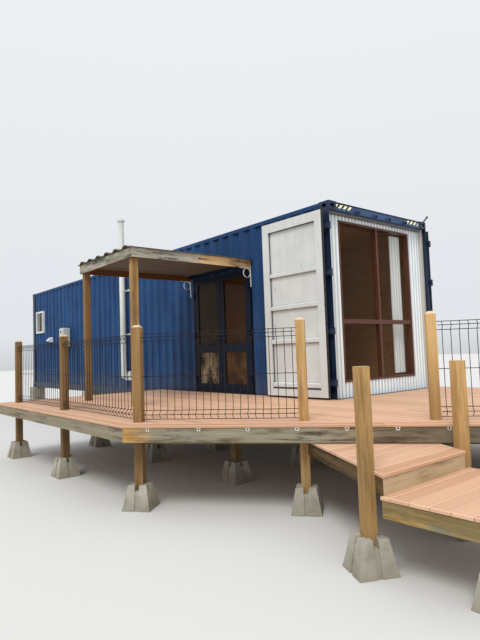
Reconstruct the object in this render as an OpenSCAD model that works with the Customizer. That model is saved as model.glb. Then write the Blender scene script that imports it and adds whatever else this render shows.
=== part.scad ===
// A cabin made from a 40 foot high-cube shipping container, with a raised deck, fence, steps and awning.
// X runs along the container with its door end at X = 0, -Y is the deck side, Z = 0 is the ground.

/* [Container] */
// Length over the corner castings
cont_l = 12192; // [9000:1:12192]
// Width over the corner castings
cont_w = 2438; // [2300:1:2500]
// Height over the corner castings
cont_h = 2896; // [2800:1:2896]
// Height of the container's underside above the ground
lift = 700; // [550:1:900]
// Thickness of the steel sheets
sheet_t = 2; // [1.5:0.5:4]
// Wall thickness of the frame's steel sections
steel_t = 6; // [4:1:10]

/* [Castings] */
// Length of a casting along the container
cast_l = 178; // [170:1:190]
// Width of a casting across the container
cast_w = 162; // [155:1:170]
// Height of a casting
cast_h = 118; // [110:1:125]
// Thickness of a casting's walls
cast_t = 20; // [14:1:28]
// Length of the oval hole in a casting's sides
slot_l = 79; // [70:1:90]
// Height of the oval hole in a casting's sides
slot_h = 51; // [40:1:56]

/* [Frame] */
// Height of the bottom side rails
bottom_rail_h = 162; // [140:1:180]
// Width of the flanges of the bottom side rails
bottom_rail_w = 60; // [50:1:80]
// Height and width of the square top side rails
top_rail = 60; // [60:1:80]
// How far the rails sit inside the castings' faces
rail_inset = 6; // [3:1:10]
// Height of the header over the doors
header_h = 118; // [118:1:150]
// Height of the lip under the header that the doors close on
header_lip = 30; // [24:1:80]
// Height of the sill under the doors
sill_h = 155; // [140:1:160]
// Depth of the rebate that the doors close into
rebate = 66; // [62:1:80]
// Width of the thin outer edge of a door post
post_edge = 12; // [8:1:14]
// Width of a door post seen from the end
post_w = 65; // [60:1:90]
// Spacing of the floor's cross members
cross_pitch = 508; // [300:1:700]
// Width of a cross member
cross_w = 45; // [40:1:60]
// Height of a cross member
cross_h = 122; // [100:1:130]
// Thickness of the lining boards
lining_t = 12; // [9:1:20]
// Thickness of the floor boards
floor_t = 28; // [20:1:34]

/* [Corrugation] */
// Pitch of the side walls' corrugation
side_pitch = 278; // [240:1:300]
// Depth of the side walls' corrugation
side_depth = 36; // [20:1:46]
// Width of the outer flats on the side walls
side_crest = 72; // [60:1:80]
// Width of the inner flats on the side walls
side_trough = 70; // [60:1:80]
// Pitch of the blind end wall's corrugation
end_pitch = 250; // [220:1:280]
// Depth of the blind end wall's corrugation
end_depth = 45; // [20:1:50]
// Pitch of the roof's corrugation
roof_pitch = 209; // [180:1:240]
// Depth of the roof's corrugation
roof_depth = 20; // [12:1:26]

/* [Container doors] */
// Thickness of a leaf
leaf_t = 50; // [44:1:56]
// Gap between a leaf and the frame around it
leaf_gap = 8; // [6:1:12]
// Gap between a container door and the header
leaf_head = 13; // [8:1:30]
// Height of a leaf's bottom edge above the container's underside
leaf_z = 180; // [172:1:190]
// Width of the steel frame around a leaf
leaf_frame = 120; // [90:1:140]
// Height of the steel frame along a leaf's top
leaf_top = 133; // [90:1:150]
// Width of the rubber seal around a leaf
seal_w = 12; // [8:1:14]
// Height of the pressed ribs in a leaf
rib_h = 76; // [50:1:90]
// How far the pressed ribs stand out
rib_d = 36; // [14:1:40]
// Distance of the hinge pins in front of the end face
pin_x = 30; // [26:1:36]
// Distance of the hinge pins outside the side face
pin_y = 40; // [36:1:50]
// Radius of the hinge pins
pin_r = 8; // [6:1:9]
// Angle by which the leaves stand open
leaf_open = 268.8; // [90:0.1:268.8]
// Radius of the lock rods
rod_r = 17; // [14:1:17]
// Places of the lock rods as shares of a leaf's width
rod_at = [0.504, 0.861];
// Length of a lock rod's handle
handle_l = 300; // [240:1:320]
// Height of a lock rod's handle bar
handle_t = 32; // [24:1:40]
// Place of the handles as a share of the door's height
handle_at = 0.418; // [0.35:0.001:0.5]
// Places of the rods' guides as shares of the door's height
guide_at = [0.023, 0.27, 0.676, 0.969];

/* [End window] */
// How far the infill wall sits behind the end face
infill_x = 118; // [112:1:200]
// Pitch of the infill's small corrugation
infill_pitch = 76; // [60:1:90]
// Depth of the infill's small corrugation
infill_depth = 16; // [10:1:20]
// Distance of the window from the container's near side
window_y = 321; // [240:1:340]
// Distance of the window from the container's far side
window_far = 365; // [330:1:600]
// Height of the window's bottom edge above the container's underside
window_z = 372; // [330:1:500]
// Gap between the window's head and the lip under the header
window_head = 66; // [20:1:200]
// Width of the window's outer timbers
window_bar = 30; // [24:1:80]
// Width of the upright between the panes
mullion_w = 42; // [36:1:90]
// Share of the window's width at the middle of the upright
mullion_at = 0.519; // [0.4:0.001:0.6]
// Height of the middle of the cross bar above the window's bottom edge
transom_z = 862; // [700:1:1000]
// Width of the cross bar
transom_w = 64; // [50:1:80]
// Depth of the window's timbers
window_d = 90; // [70:1:110]
// How far the window's timbers stand out of the infill's waves
window_out = 4; // [2:1:30]
// Thickness of the glass
glass_t = 6; // [4:1:10]

/* [Glazed doors] */
// Distance of the doorway's near jamb from the door end
doorway_x = 1702; // [1640:1:1800]
// Width of the doorway
doorway_w = 1600; // [1560:1:1700]
// Height of the doorway's head above the container's underside
doorway_top = 2188; // [2150:1:2190]
// Thickness of the doorway's frame
jamb = 40; // [35:1:55]
// Depth of the doorway's frame
jamb_d = 100; // [90:1:120]
// Thickness of the doorway's sill
threshold = 20; // [15:1:30]
// Thickness of a glazed leaf
glazed_t = 44; // [36:1:48]
// Width of a glazed leaf's stiles
stile = 100; // [80:1:120]
// Height of a glazed leaf's top rail
head_rail = 62; // [50:1:120]
// Height of a glazed leaf's bottom rail
kick_rail = 130; // [100:1:180]
// Height of a glazed leaf's middle rail
lock_rail = 140; // [100:1:180]
// Height of the middle rail's lower edge above the container's underside
lock_rail_z = 860; // [800:1:900]
// Gap around a glazed leaf
glazed_gap = 5; // [5:1:8]
// Radius of the glazed leaves' hinges
butt_r = 7; // [5:1:8]

/* [Small window] */
// Distance of the small window from the blind end
small_end = 312; // [250:1:900]
// Width of the small window
small_w = 620; // [500:1:700]
// Height of the small window's bottom edge above the container's underside
small_z = 1640; // [1500:1:1700]
// Height of the small window
small_h = 660; // [500:1:760]
// Width of the small window's frame
small_bar = 50; // [35:1:60]

/* [Flue and vent] */
// Distance of the flue from the blind end
flue_end = 6262; // [5500:1:7000]
// Radius of the flue
flue_r = 62; // [50:1:75]
// Distance of the flue's middle from the wall
flue_out = 108; // [90:1:140]
// Height of the flue's top above the container's underside
flue_top = 3915; // [3600:1:4000]
// Height of the flue's elbow above the container's underside
flue_foot = 420; // [300:1:600]
// Places of the flue's straps as shares of its height
strap_at = [0.26, 0.54];
// Distance of the small vent hood from the blind end
vent_end = 1542; // [1300:1:3000]
// Height of the vent hood above the container's underside
vent_z = 1335; // [1200:1:1800]
// Width of the vent hood
vent_w = 280; // [220:1:360]

/* [Awning] */
// Distance of the awning's near side from the door end
awning_x = 1682; // [1676:1:1690]
// Width of the awning along the container
awning_w = 1750; // [1700:1:1900]
// How far the awning reaches out from the container
awning_out = 2120; // [1800:1:2300]
// Height of the awning beams' lower edge above the container's underside
awning_z = 2190; // [2185:1:2250]
// Height of the awning's beams
awning_beam = 135; // [120:1:160]
// Pitch of the awning roof's ribs
awning_rib = 290; // [200:1:320]
// Height of the awning roof's ribs
awning_rib_h = 38; // [20:1:45]
// Height of the scroll brackets' back plates
bracket_h = 300; // [150:1:340]
// Length of the scroll brackets' arms
bracket_l = 225; // [140:1:260]

/* [Deck] */
// Height of the deck's surface above the container's underside
deck_z = 163; // [150:1:170]
// Distance of the deck's front edge from the container
deck_out = 3119; // [2800:1:3300]
// Distance of the deck's far side edge from the door end
deck_back_x = 4470; // [4200:1:4800]
// How far the deck reaches beyond the door end
deck_end_x = 3640; // [3400:1:3900]
// How far the deck reaches beyond the container's far side
deck_far = 160; // [60:1:200]
// Distance from the door end to the start of the slanted edge
slant_x = 94; // [50:1:150]
// Angle of the slanted edge
slant = 38.93; // [36:0.01:41]
// Gap between the deck and the container
deck_gap = 12; // [8:1:20]
// Thickness of the deck boards
board_t = 23; // [19:1:28]
// Height of the deck's edge timbers
fascia_h = 140; // [120:1:160]
// Thickness of the deck's timbers
timber_t = 45; // [35:1:50]
// How far the boards stand out over the edge timbers
nosing = 8; // [4:1:15]
// Height of the deck's joists
joist_h = 120; // [90:1:135]
// Spacing of the deck's joists
joist_pitch = 450; // [400:1:600]
// Height of the bearers under the joists
bearer_h = 90; // [70:1:120]

/* [Posts and fence] */
// Width of the square posts
post = 90; // [80:1:100]
// Height of the fence posts above the deck
fence_h = 1000; // [900:1:1100]
// Size of the bevel on top of a post
bevel = 24; // [5:1:30]
// Distance of the fence posts' middle from the deck's straight edges
post_inset = 275; // [250:1:320]
// Distance of the fence posts' middle from the deck's slanted edge
slant_inset = 290; // [250:1:320]
// Place of the first post beside the steps, along the slanted edge
step_post_1 = 1752; // [1600:1:1800]
// Place of the second post beside the steps, along the slanted edge
step_post_2 = 2963; // [2900:1:3100]
// Thickness of the fence's wires
wire = 6; // [4:0.5:8]
// Spacing of the fence's upright wires
wire_pitch = 76; // [60:1:160]
// Height of the fence's lowest wire above the deck
mesh_low = 27; // [20:1:40]
// Height of the fence's highest wire above the deck
mesh_high = 903; // [850:1:930]

/* [Footings] */
// Width of a footing block at its base
block_w = 296; // [260:1:320]
// Width of a footing block at its top
block_top = 196; // [170:1:220]
// Height of a footing block
block_h = 245; // [200:1:280]
// Depth of the cross slots in a footing block
block_slot_d = 60; // [40:1:80]
// Width of the cross slots in a footing block
block_slot_w = 48; // [40:1:56]
// Depth of the groove down each side of a footing
block_groove = 12; // [6:1:20]
// Width of the piers under the container
pier_w = 350; // [300:1:400]

/* [Steps] */
// Depth of the deck's surface above the upper step
step_drop = 173; // [165:1:190]
// Distance of the upper step's front edge from the door end
step_x = 2500; // [2300:1:2700]
// Distance of the upper step's near corner from the container's near side
step_y = 2532; // [2300:1:2700]
// Width of the upper step's front edge
step_w = 1117; // [1000:1:1300]
// Angle of the upper step's sides
step_side = -27.7; // [-32:0.1:-24]
// Height of the steps' timbers
step_timber = 120; // [100:1:130]
// Length of the lower step
low_l = 925; // [700:1:1000]
// Height of the tall step posts above the upper step
step_post_h = 723; // [600:1:800]
// Distance of the near step post from the upper step's corner
tall_back = 175; // [45:1:300]

/* [Curtain] */
// Width of the gathered curtain
curtain_w = 260; // [200:5:500]
// Depth of the gathered curtain
curtain_d = 70; // [50:1:90]
// Radius of the curtain's rail
curtain_rail_r = 10; // [8:1:14]

/* [Hidden] */
$fn = 16;

// Heights of the container's main levels
z_base = lift;
z_top = lift + cont_h;
z_rail = lift + bottom_rail_h;
z_plate = z_top - rail_inset - top_rail;
z_header = z_top - header_h;
z_lip = z_header - header_lip;
z_sill = lift + sill_h;
z_deck = lift + deck_z;

// Gap at a fitted timber or wire
seat = 0.3;
wall_y = rail_inset + 2;
small_x0 = -cont_l + small_end;
flue_at = -cont_l + flue_end;
vent_at = -cont_l + vent_end;
z_roof = z_top - rail_inset - roof_depth - sheet_t;
z_end_rail = z_plate - 52;

// Outline of the posts at the blind end
blind_post_d = cast_l - 30;
blind_post_w = cast_w - 40;

// Places of the deck's corners, anticlockwise from the far corner of its front edge
slant_run = deck_end_x + slant_x;
slant_end_y = -deck_out + slant_run * tan(slant);
deck_pts = [
    [-deck_back_x, -deck_out], [-slant_x, -deck_out], [deck_end_x, slant_end_y],
    [deck_end_x, cont_w + deck_far], [deck_gap, cont_w + deck_far],
    [deck_gap, -deck_gap], [-deck_back_x, -deck_gap]
];

// Fence posts: place and turn. The first three stand along the front edge, the rest along the slanted one
slant_t = [cos(slant), sin(slant)];
slant_n = [sin(slant), -cos(slant)];
slant_from = [-slant_x, -deck_out];
function on_slant(s, out) = slant_from + s * slant_t + out * slant_n;
side_x = deck_end_x - post_inset;
last_s = (side_x + slant_x + slant_inset * sin(slant)) / cos(slant);
fence_pts = [
    [-4220, -deck_out + post_inset], [-2280, -deck_out + post_inset],
    on_slant(60, -slant_inset), on_slant(step_post_1, -slant_inset), on_slant(step_post_2, -slant_inset),
    on_slant(last_s, -slant_inset), [side_x, cont_w + deck_far - post_inset]
];
fence_turn = [0, 0, slant, slant, slant, slant, 0];

// The upper step's outline: its sides run back under the slanted edge to the posts' front faces
z_step = z_deck - step_drop;
step_dir = [-cos(step_side), -sin(step_side)];
step_out = [sin(step_side), -cos(step_side)];
step_near = [step_x, -step_y];
step_far = [step_x, -step_y + step_w];
step_back = slant_inset - post / 2;
function out_of(p) = (p - slant_from) * slant_n;
function back_point(p) = p + step_dir * (out_of(p) + step_back) / -(step_dir * slant_n);
step_pts = [back_point(step_near), step_near, step_far, back_point(step_far)];

// The lower step: under the upper step's front timber
z_low = z_step - board_t - step_timber;
low_pts = [
    [step_x - 20, -step_y - 10], [step_x - 20 + low_l, -step_y - 10],
    [step_x - 20 + low_l, -step_y + step_w + 62], [step_x - 20, -step_y + step_w + 62]
];
tall_pts = [
    step_near + step_dir * tall_back + step_out * (post / 2 - nosing),
    step_far + step_dir * (post + nosing) - step_out * (post / 2 - nosing)
];
short_pts = [
    [low_pts[1][0] - 200, low_pts[1][1] + 170], [low_pts[2][0] - 200, low_pts[2][1] - 170]
];

// Interior stumps and the bearers they carry, as rows along X
bearer_rows = [
    [-deck_back_x + 60, -slant_x, -1500], [-deck_back_x + 60, -slant_x, -350],
    [250, side_x - post / 2, 650], [250, side_x - post / 2, 1650]
];
stump_pts = [
    for (row = bearer_rows, k = [0:2]) [row[0] + 250 + k * (row[1] - row[0] - 500) / 2, row[2]]
];

// Hinge axis of the container doors, in the frame of the near side
pin = [pin_x, -pin_y];
leaf_w = cont_w / 2 - post_edge - leaf_gap - leaf_gap;
leaf_u = post_edge + leaf_gap + pin_y;
leaf_h = cont_h - header_h - leaf_head - leaf_z;
leaf_face = -pin_x - rail_inset - 4;
hinge_z = [for (share = [0.066, 0.337, 0.646, 0.897]) leaf_z + share * leaf_h];
barrel_h = 70;
lug_t = 12;
keeper_h = 30;
pin_play = 0.5;

// Glazed leaves
glazed_w = (doorway_w - 2 * jamb - 2 * glazed_gap - 8) / 2;
glazed_z = z_rail + threshold + 6;
glazed_top = lift + doorway_top - jamb - glazed_gap;
glazed_y = -8;
butt_y = glazed_y - 16;
butt_z = [for (share = [0.11, 0.5, 0.87]) glazed_z + share * (glazed_top - glazed_z)];
butt_h = 30;

// One side of a trapezoid wave: depth of the sheet at a place along it
function ramp(a, b, x) = min(1, max(0, (x - a) / (b - a)));
function wave(x, pitch, depth, crest, trough) =
    let (u = x - pitch * floor(x / pitch), slope = (pitch - crest - trough) / 2)
    depth * (ramp(crest, crest + slope, u) - ramp(crest + slope + trough, pitch, u));

// Outline of a corrugated sheet between two places, in the plane across its ribs
function wave_pts(x0, x1, pitch, depth, crest, trough, t) =
    let (
        slope = (pitch - crest - trough) / 2,
        marks = [0, crest, crest + slope, crest + slope + trough],
        xs = concat(
            [x0],
            [for (k = [floor(x0 / pitch):floor(x1 / pitch)], m = marks)
                if (k * pitch + m > x0 + 1 && k * pitch + m < x1 - 1) k * pitch + m],
            [x1]
        ),
        near = [for (x = xs) [x, wave(x, pitch, depth, crest, trough)]]
    )
    concat(near, [for (k = [len(near) - 1:-1:0]) near[k] + [0, t]]);

// Crossing point of the lines that run parallel to two edges at a distance
function unit(v) = v / norm(v);
function left_of(v) = [-v[1], v[0]];
function corner(a, b, c, d) =
    let (
        u = unit(b - a), v = unit(c - b),
        p = b + d * left_of(u), q = b + d * left_of(v),
        s = u[0] * v[1] - u[1] * v[0]
    )
    abs(s) < 0.001 ? p : p + u * ((q - p)[0] * v[1] - (q - p)[1] * v[0]) / s;

// An outline drawn smaller by a distance on every side, for outlines drawn anticlockwise
function inset(pts, d) =
    let (n = len(pts))
    [for (k = [0:n - 1]) corner(pts[(k + n - 1) % n], pts[k], pts[(k + 1) % n], d)];

// A flat plate with a given outline
module plate(pts, z, t) {
    translate([0, 0, z]) linear_extrude(t) polygon(pts);
}

// A ring of edge timbers inside an outline
module edging(pts, z, h, from, t) {
    difference() {
        plate(inset(pts, from), z, h);
        plate(inset(pts, from + t), z - 1, h + 2);
    }
}

// A box given by its lowest and highest corners
module block(lo, hi) {
    translate(lo) cube(hi - lo);
}

// A square post with its top edges bevelled
module bevelled_post(w, h) {
    outline = [[-w / 2, 0], [w / 2, 0], [w / 2, h - bevel], [w / 2 - bevel, h], [bevel - w / 2, h],
        [-w / 2, h - bevel]];
    intersection() {
        rotate([90, 0, 0]) linear_extrude(w, center = true) polygon(outline);
        rotate([90, 0, 90]) linear_extrude(w, center = true) polygon(outline);
    }
}

// Square holes where the posts pass, with hardly any play
module post_holes(z, h) {
    play = 2 * seat;
    for (k = [0:len(fence_pts) - 1])
        translate([fence_pts[k][0], fence_pts[k][1], z]) rotate(fence_turn[k])
            translate([-(post + play) / 2, -(post + play) / 2, 0]) cube([post + play, post + play, h]);
    for (p = tall_pts)
        translate([p[0], p[1], z]) rotate(step_side)
            translate([-post / 2, -post / 2, 0]) cube([post, post, h]);
}

// Places and turns that every casting corner shares
module at_corners() {
    for (x = [0, 1], y = [0, 1])
        translate([-x * cont_l, y * cont_w, 0])
            mirror([0, y, 0]) mirror([1 - x, 0, 0]) children();
}

// One hollow casting with an oval hole in each of its two outer sides
module casting() {
    r = slot_h / 2;
    difference() {
        cube([cast_l, cast_w, cast_h]);
        translate([cast_t, cast_t, cast_t])
            cube([cast_l - 2 * cast_t, cast_w - 2 * cast_t, cast_h - 2 * cast_t]);
        for (s = [-1, 1]) {
            translate([cast_l / 2 + s * (slot_l / 2 - r), -1, cast_h / 2])
                rotate([-90, 0, 0]) cylinder(r = r, h = cast_t + 2);
            translate([-1, cast_w / 2 + s * (slot_l / 2 - r), cast_h / 2])
                rotate([0, 90, 0]) cylinder(r = r, h = cast_t + 2);
        }
        translate([cast_l / 2 - slot_l / 2 + r, -1, cast_h / 2 - r])
            cube([slot_l - 2 * r, cast_t + 2, slot_h]);
        translate([-1, cast_w / 2 - slot_l / 2 + r, cast_h / 2 - r])
            cube([cast_t + 2, slot_l - 2 * r, slot_h]);
    }
}

module castings() {
    color("#26344f") for (z = [z_base, z_top - cast_h])
        translate([0, 0, z]) at_corners() casting();
}

// Hollow steel posts between the castings. The door posts stand behind the doors' rebate,
// and their thin outer edges shield the leaves
module corner_posts() {
    h = cont_h - 2 * cast_h;
    color("#26344f") for (y = [0, 1]) translate([0, y * cont_w, z_base + cast_h]) mirror([0, y, 0]) {
        difference() {
            block([-cast_l, rail_inset / 2, 0], [-rebate, post_w, h]);
            block([-cast_l + steel_t, rail_inset / 2 + steel_t, -1],
                [-rebate - steel_t, post_w - steel_t, h + 1]);
        }
        translate([-cont_l, 0, 0]) difference() {
            block([rail_inset / 2, rail_inset / 2, 0], [blind_post_d, blind_post_w, h]);
            block([rail_inset / 2 + steel_t, rail_inset / 2 + steel_t, -1],
                [blind_post_d - steel_t, blind_post_w - steel_t, h + 1]);
        }
        block([-rebate - steel_t, 0, 0], [-rail_inset / 2, post_edge, h]);
    }
}

// Channels along the bottom of both sides
module bottom_rails() {
    color("#26344f") for (y = [0, 1]) translate([0, y * cont_w, z_base]) mirror([0, y, 0]) difference() {
        block([-cont_l + cast_l, rail_inset, 0], [-cast_l, bottom_rail_w, bottom_rail_h]);
        block([-cont_l, rail_inset + steel_t, steel_t], [0, bottom_rail_w + 1, bottom_rail_h - steel_t]);
    }
}

// Cross members under the floor, from rail to rail
module cross_members() {
    count = floor((cont_l - 2 * cast_l - cross_w) / cross_pitch);
    first = -cast_l - (cont_l - 2 * cast_l - count * cross_pitch) / 2;
    color("#2b2f36") for (k = [0:count]) translate([first - k * cross_pitch, 0, z_rail - floor_t - cross_h])
        difference() {
            block([-cross_w / 2, rail_inset + steel_t, 0],
                [cross_w / 2, cont_w - rail_inset - steel_t, cross_h]);
            block([-cross_w / 2 + steel_t, 0, steel_t], [cross_w, cont_w, cross_h - steel_t]);
        }
}

// Square tubes along the top of both sides
module top_rails() {
    color("#3f618f") for (y = [0, 1]) translate([0, y * cont_w, z_plate]) mirror([0, y, 0]) difference() {
        block([-cont_l + cast_l, rail_inset, 0], [-cast_l, rail_inset + top_rail, top_rail]);
        block([-cont_l, rail_inset + steel_t, steel_t],
            [0, rail_inset + top_rail - steel_t, top_rail - steel_t]);
    }
}

// One keeper that a lock rod's cam turns into
module keeper() {
    difference() {
        block([0, -42, -keeper_h / 2], [34, 42, keeper_h / 2]);
        block([8, -28, -keeper_h / 2 - 1], [35, 28, keeper_h / 2 - 6]);
    }
}

// Header over the doors: a box beam with a set back lip under it, and four keepers
module door_header() {
    color("#26344f") {
        difference() {
            block([-cast_l, cast_w, z_header], [-rail_inset, cont_w - cast_w, z_top - rail_inset]);
            block([-cast_l + steel_t, cast_w - 1, z_header + steel_t],
                [-rail_inset - steel_t, cont_w - cast_w + 1, z_top - rail_inset - steel_t]);
        }
        difference() {
            block([-cast_l, post_w, z_lip], [-rebate, cont_w - post_w, z_header]);
            block([-cast_l + steel_t, post_w - 1, z_lip + steel_t],
                [-rebate - steel_t, cont_w - post_w + 1, z_header - steel_t]);
        }
        for (y = rod_places()) translate([-rail_inset, y, z_header + keeper_h / 2 + 14]) keeper();
    }
}

module door_sill() {
    color("#26344f") {
        difference() {
            block([-cast_l, cast_w, z_base], [-rail_inset, cont_w - cast_w, z_base + cast_h]);
            block([-cast_l + steel_t, cast_w - 1, z_base + steel_t],
                [-rail_inset - steel_t, cont_w - cast_w + 1, z_base + cast_h - steel_t]);
        }
        block([-cast_l, post_w, z_base + cast_h], [-rebate, cont_w - post_w, z_sill]);
    }
}

// Rails over and under the blind end wall
module blind_end_rails() {
    color("#26344f") translate([-cont_l, 0, 0]) {
        block([rail_inset, cast_w, z_base], [rail_inset + bottom_rail_w, cont_w - cast_w, z_rail]);
        block([rail_inset, blind_post_w, z_rail - floor_t], [blind_post_d, cont_w - blind_post_w, z_rail]);
        block([rail_inset, cast_w, z_end_rail], [rail_inset + top_rail, cont_w - cast_w, z_top - rail_inset]);
        block([rail_inset, cast_w, z_roof], [cast_l, cont_w - cast_w, z_top - rail_inset]);
    }
}

// Corrugated side wall between two distances from the door end, outer crests just inside the rails
module side_sheet(from, to, low, high) {
    difference() {
        translate([0, wall_y, low]) linear_extrude(high - low)
            polygon(wave_pts(-to, -from, side_pitch, side_depth, side_crest, side_trough, sheet_t));
        block([-cont_l, -1, z_top - cast_h], [-cont_l + cast_l, cast_w, z_top]);
    }
}

module wall_rear() {
    color("#3a5a88") difference() {
        side_sheet(doorway_x + doorway_w, cont_l - blind_post_d, z_rail, z_plate);
        block([small_x0, -10, lift + small_z], [small_x0 + small_w, 100, lift + small_z + small_h]);
    }
}

module wall_front() {
    color("#3a5a88") side_sheet(cast_l, doorway_x, z_rail, z_plate);
}

module wall_over_door() {
    color("#3a5a88") side_sheet(doorway_x, doorway_x + doorway_w, lift + doorway_top, z_plate);
}

module wall_far() {
    color("#3a5a88") translate([0, cont_w, 0]) mirror([0, 1, 0])
        side_sheet(cast_l, cont_l - blind_post_d, z_rail, z_plate);
}

module wall_blind_end() {
    color("#3a5a88") translate([-cont_l + rail_inset + 4, cont_w, z_rail]) rotate(-90)
        linear_extrude(z_end_rail - z_rail)
            polygon(wave_pts(blind_post_w, cont_w - blind_post_w, end_pitch, end_depth, 80, 80, sheet_t));
}

// Roof sheet, corrugated across the container, between the top rails
module roof() {
    color("#3a5a88") translate([0, rail_inset + top_rail, z_roof]) mirror([0, 1, 0]) rotate([90, 0, 0])
        linear_extrude(cont_w - 2 * rail_inset - 2 * top_rail)
            polygon(wave_pts(-cont_l + cast_l, -cast_l, roof_pitch, roof_depth, 91, 91, sheet_t));
}

// Floor boards on the cross members, between the rails
module floor_boards() {
    color("#8a6a4a") block(
        [-cont_l + blind_post_d, bottom_rail_w, z_rail - floor_t],
        [-cast_l, cont_w - bottom_rail_w, z_rail]);
}

// Lining boards over the walls and the ceiling, with holes for the doorway and the small window
module inner_lining() {
    y0 = wall_y + side_depth + sheet_t;
    x0 = -cont_l + cast_l + seat;
    color("#a98358") difference() {
        block([x0, y0, z_rail], [-cast_l - seat, cont_w - y0, z_plate]);
        block([x0 + lining_t, y0 + lining_t, z_rail - 1], [1, cont_w - y0 - lining_t, z_plate - lining_t]);
        block([-doorway_x - doorway_w, 0, z_rail - 1], [-doorway_x, y0 + lining_t + 1, lift + doorway_top]);
        block([small_x0, 0, lift + small_z],
            [small_x0 + small_w, y0 + lining_t + 1, lift + small_z + small_h]);
    }
}

// Corners of the window in the end wall
window_w = cont_w - window_y - window_far;
win_lo = [window_y, lift + window_z];
win_hi = [window_y + window_w, z_lip - window_head];
mullion_ys = [for (s = [-1, 1]) round(window_y + mullion_at * window_w) + s * mullion_w / 2];

// Outline of the infill's small waves, four points to a wave
function ripple_pts(y0, y1) =
    let (
        n = 4 * round((y1 - y0) / infill_pitch),
        step = (y1 - y0) / n,
        face = [for (k = [0:n]) [y0 + k * step, infill_depth / 2 * (1 - sqrt(2) * cos(90 * k + 45))]]
    )
    concat(face, [for (k = [n:-1:0]) face[k] + [0, sheet_t]]);

// Small-wave sheet that closes the door end around the window
module infill() {
    color("#dfe5ea") difference() {
        translate([-infill_x, cont_w, z_sill]) rotate(-90) mirror([0, 1, 0])
            linear_extrude(z_lip - z_sill) polygon(ripple_pts(post_w, cont_w - post_w));
        block([-infill_x - 50, win_lo[0], win_lo[1]], [-infill_x + 50, win_hi[0], win_hi[1]]);
    }
}

// Timber window of four panes
module window_frame() {
    mid_z = lift + window_z + transom_z;
    x0 = -infill_x - window_d + window_out;
    x1 = x0 + window_d;
    color("#6b2f22") {
        block([x0, win_lo[0], win_lo[1]], [x1, win_lo[0] + window_bar, win_hi[1]]);
        block([x0, win_hi[0] - window_bar, win_lo[1]], [x1, win_hi[0], win_hi[1]]);
        block([x0, win_lo[0], win_lo[1]], [x1, win_hi[0], win_lo[1] + window_bar]);
        block([x0, win_lo[0], win_hi[1] - window_bar], [x1, win_hi[0], win_hi[1]]);
        block([x0 + 10, mullion_ys[0], win_lo[1]], [x1 - 10, mullion_ys[1], win_hi[1]]);
        block([x0 + 10, win_lo[0], mid_z - transom_w / 2], [x1 - 10, win_hi[0], mid_z + transom_w / 2]);
    }
}

// Four panes, one in each quarter of the large window, and the small window's pane
module window_glass() {
    mid_z = lift + window_z + transom_z;
    xg = -infill_x - 2 / 3 * window_d + window_out;
    ys = [win_lo[0] + window_bar, mullion_ys[0], mullion_ys[1], win_hi[0] - window_bar];
    zs = [win_lo[1] + window_bar, mid_z - transom_w / 2, mid_z + transom_w / 2, win_hi[1] - window_bar];
    color("#2d3330") {
        for (j = [0, 2], k = [0, 2]) block([xg, ys[j], zs[k]], [xg + glass_t, ys[j + 1], zs[k + 1]]);
        block([small_x0 + small_bar, 30, lift + small_z + small_bar],
            [small_x0 + small_w - small_bar, 30 + glass_t, lift + small_z + small_h - small_bar]);
    }
}

// Small window near the blind end with three upright bars
module small_window() {
    x0 = small_x0;
    x1 = small_x0 + small_w;
    zl = lift + small_z;
    zh = zl + small_h;
    color("#e8e8e4") {
        difference() {
            block([x0, -14, zl], [x1, 60, zh]);
            block([x0 + small_bar, -15, zl + small_bar], [x1 - small_bar, 61, zh - small_bar]);
        }
        for (k = [1:3]) translate([x0 + k * small_w / 4, -6, zl + small_bar - 1])
            cylinder(r = 6, h = small_h - 2 * small_bar + 2);
    }
}

// Fixed frame of the glazed doors, with stops behind the leaves
module doorway_frame() {
    x0 = -doorway_x - doorway_w;
    x1 = -doorway_x;
    y0 = -12;
    y1 = y0 + jamb_d;
    zt = lift + doorway_top;
    stop = 16;
    stop_y = glazed_y + glazed_t + 6;
    color("#1c2a44") {
        difference() {
            block([x0, y0, z_rail], [x1, y1, zt]);
            block([x0 + jamb, y0 - 1, z_rail + threshold], [x1 - jamb, y1 + 1, zt - jamb]);
        }
        difference() {
            block([x0 + jamb - 1, stop_y, z_rail + threshold - 1],
                [x1 - jamb + 1, stop_y + 20, zt - jamb + 1]);
            block([x0 + jamb + stop, stop_y - 1, z_rail + threshold + stop],
                [x1 - jamb - stop, stop_y + 21, zt - jamb - stop]);
        }
        right_hung() frame_hinges();
        left_hung() frame_hinges();
    }
}

// One glazed leaf measured from its hinge edge, two panes high
module glazed_leaf() {
    pane_w = glazed_w - 2 * stile;
    color("#1c2a44") {
        difference() {
            block([0, glazed_y, glazed_z], [glazed_w, glazed_y + glazed_t, glazed_top]);
            translate([stile, glazed_y - 1, glazed_z + kick_rail])
                cube([pane_w, glazed_t + 2, lift + lock_rail_z - glazed_z - kick_rail]);
            translate([stile, glazed_y - 1, lift + lock_rail_z + lock_rail])
                cube([pane_w, glazed_t + 2, glazed_top - head_rail - lift - lock_rail_z - lock_rail]);
        }
    }
}

// The two panes of one glazed leaf
module glazed_panes() {
    pane_w = glazed_w - 2 * stile;
    color("#3a2c22") {
        translate([stile, glazed_y + glazed_t / 2 - glass_t / 2, glazed_z + kick_rail])
            cube([pane_w, glass_t, lift + lock_rail_z - glazed_z - kick_rail]);
        translate([stile, glazed_y + glazed_t / 2 - glass_t / 2, lift + lock_rail_z + lock_rail])
            cube([pane_w, glass_t, glazed_top - head_rail - lift - lock_rail_z - lock_rail]);
    }
}

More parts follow.
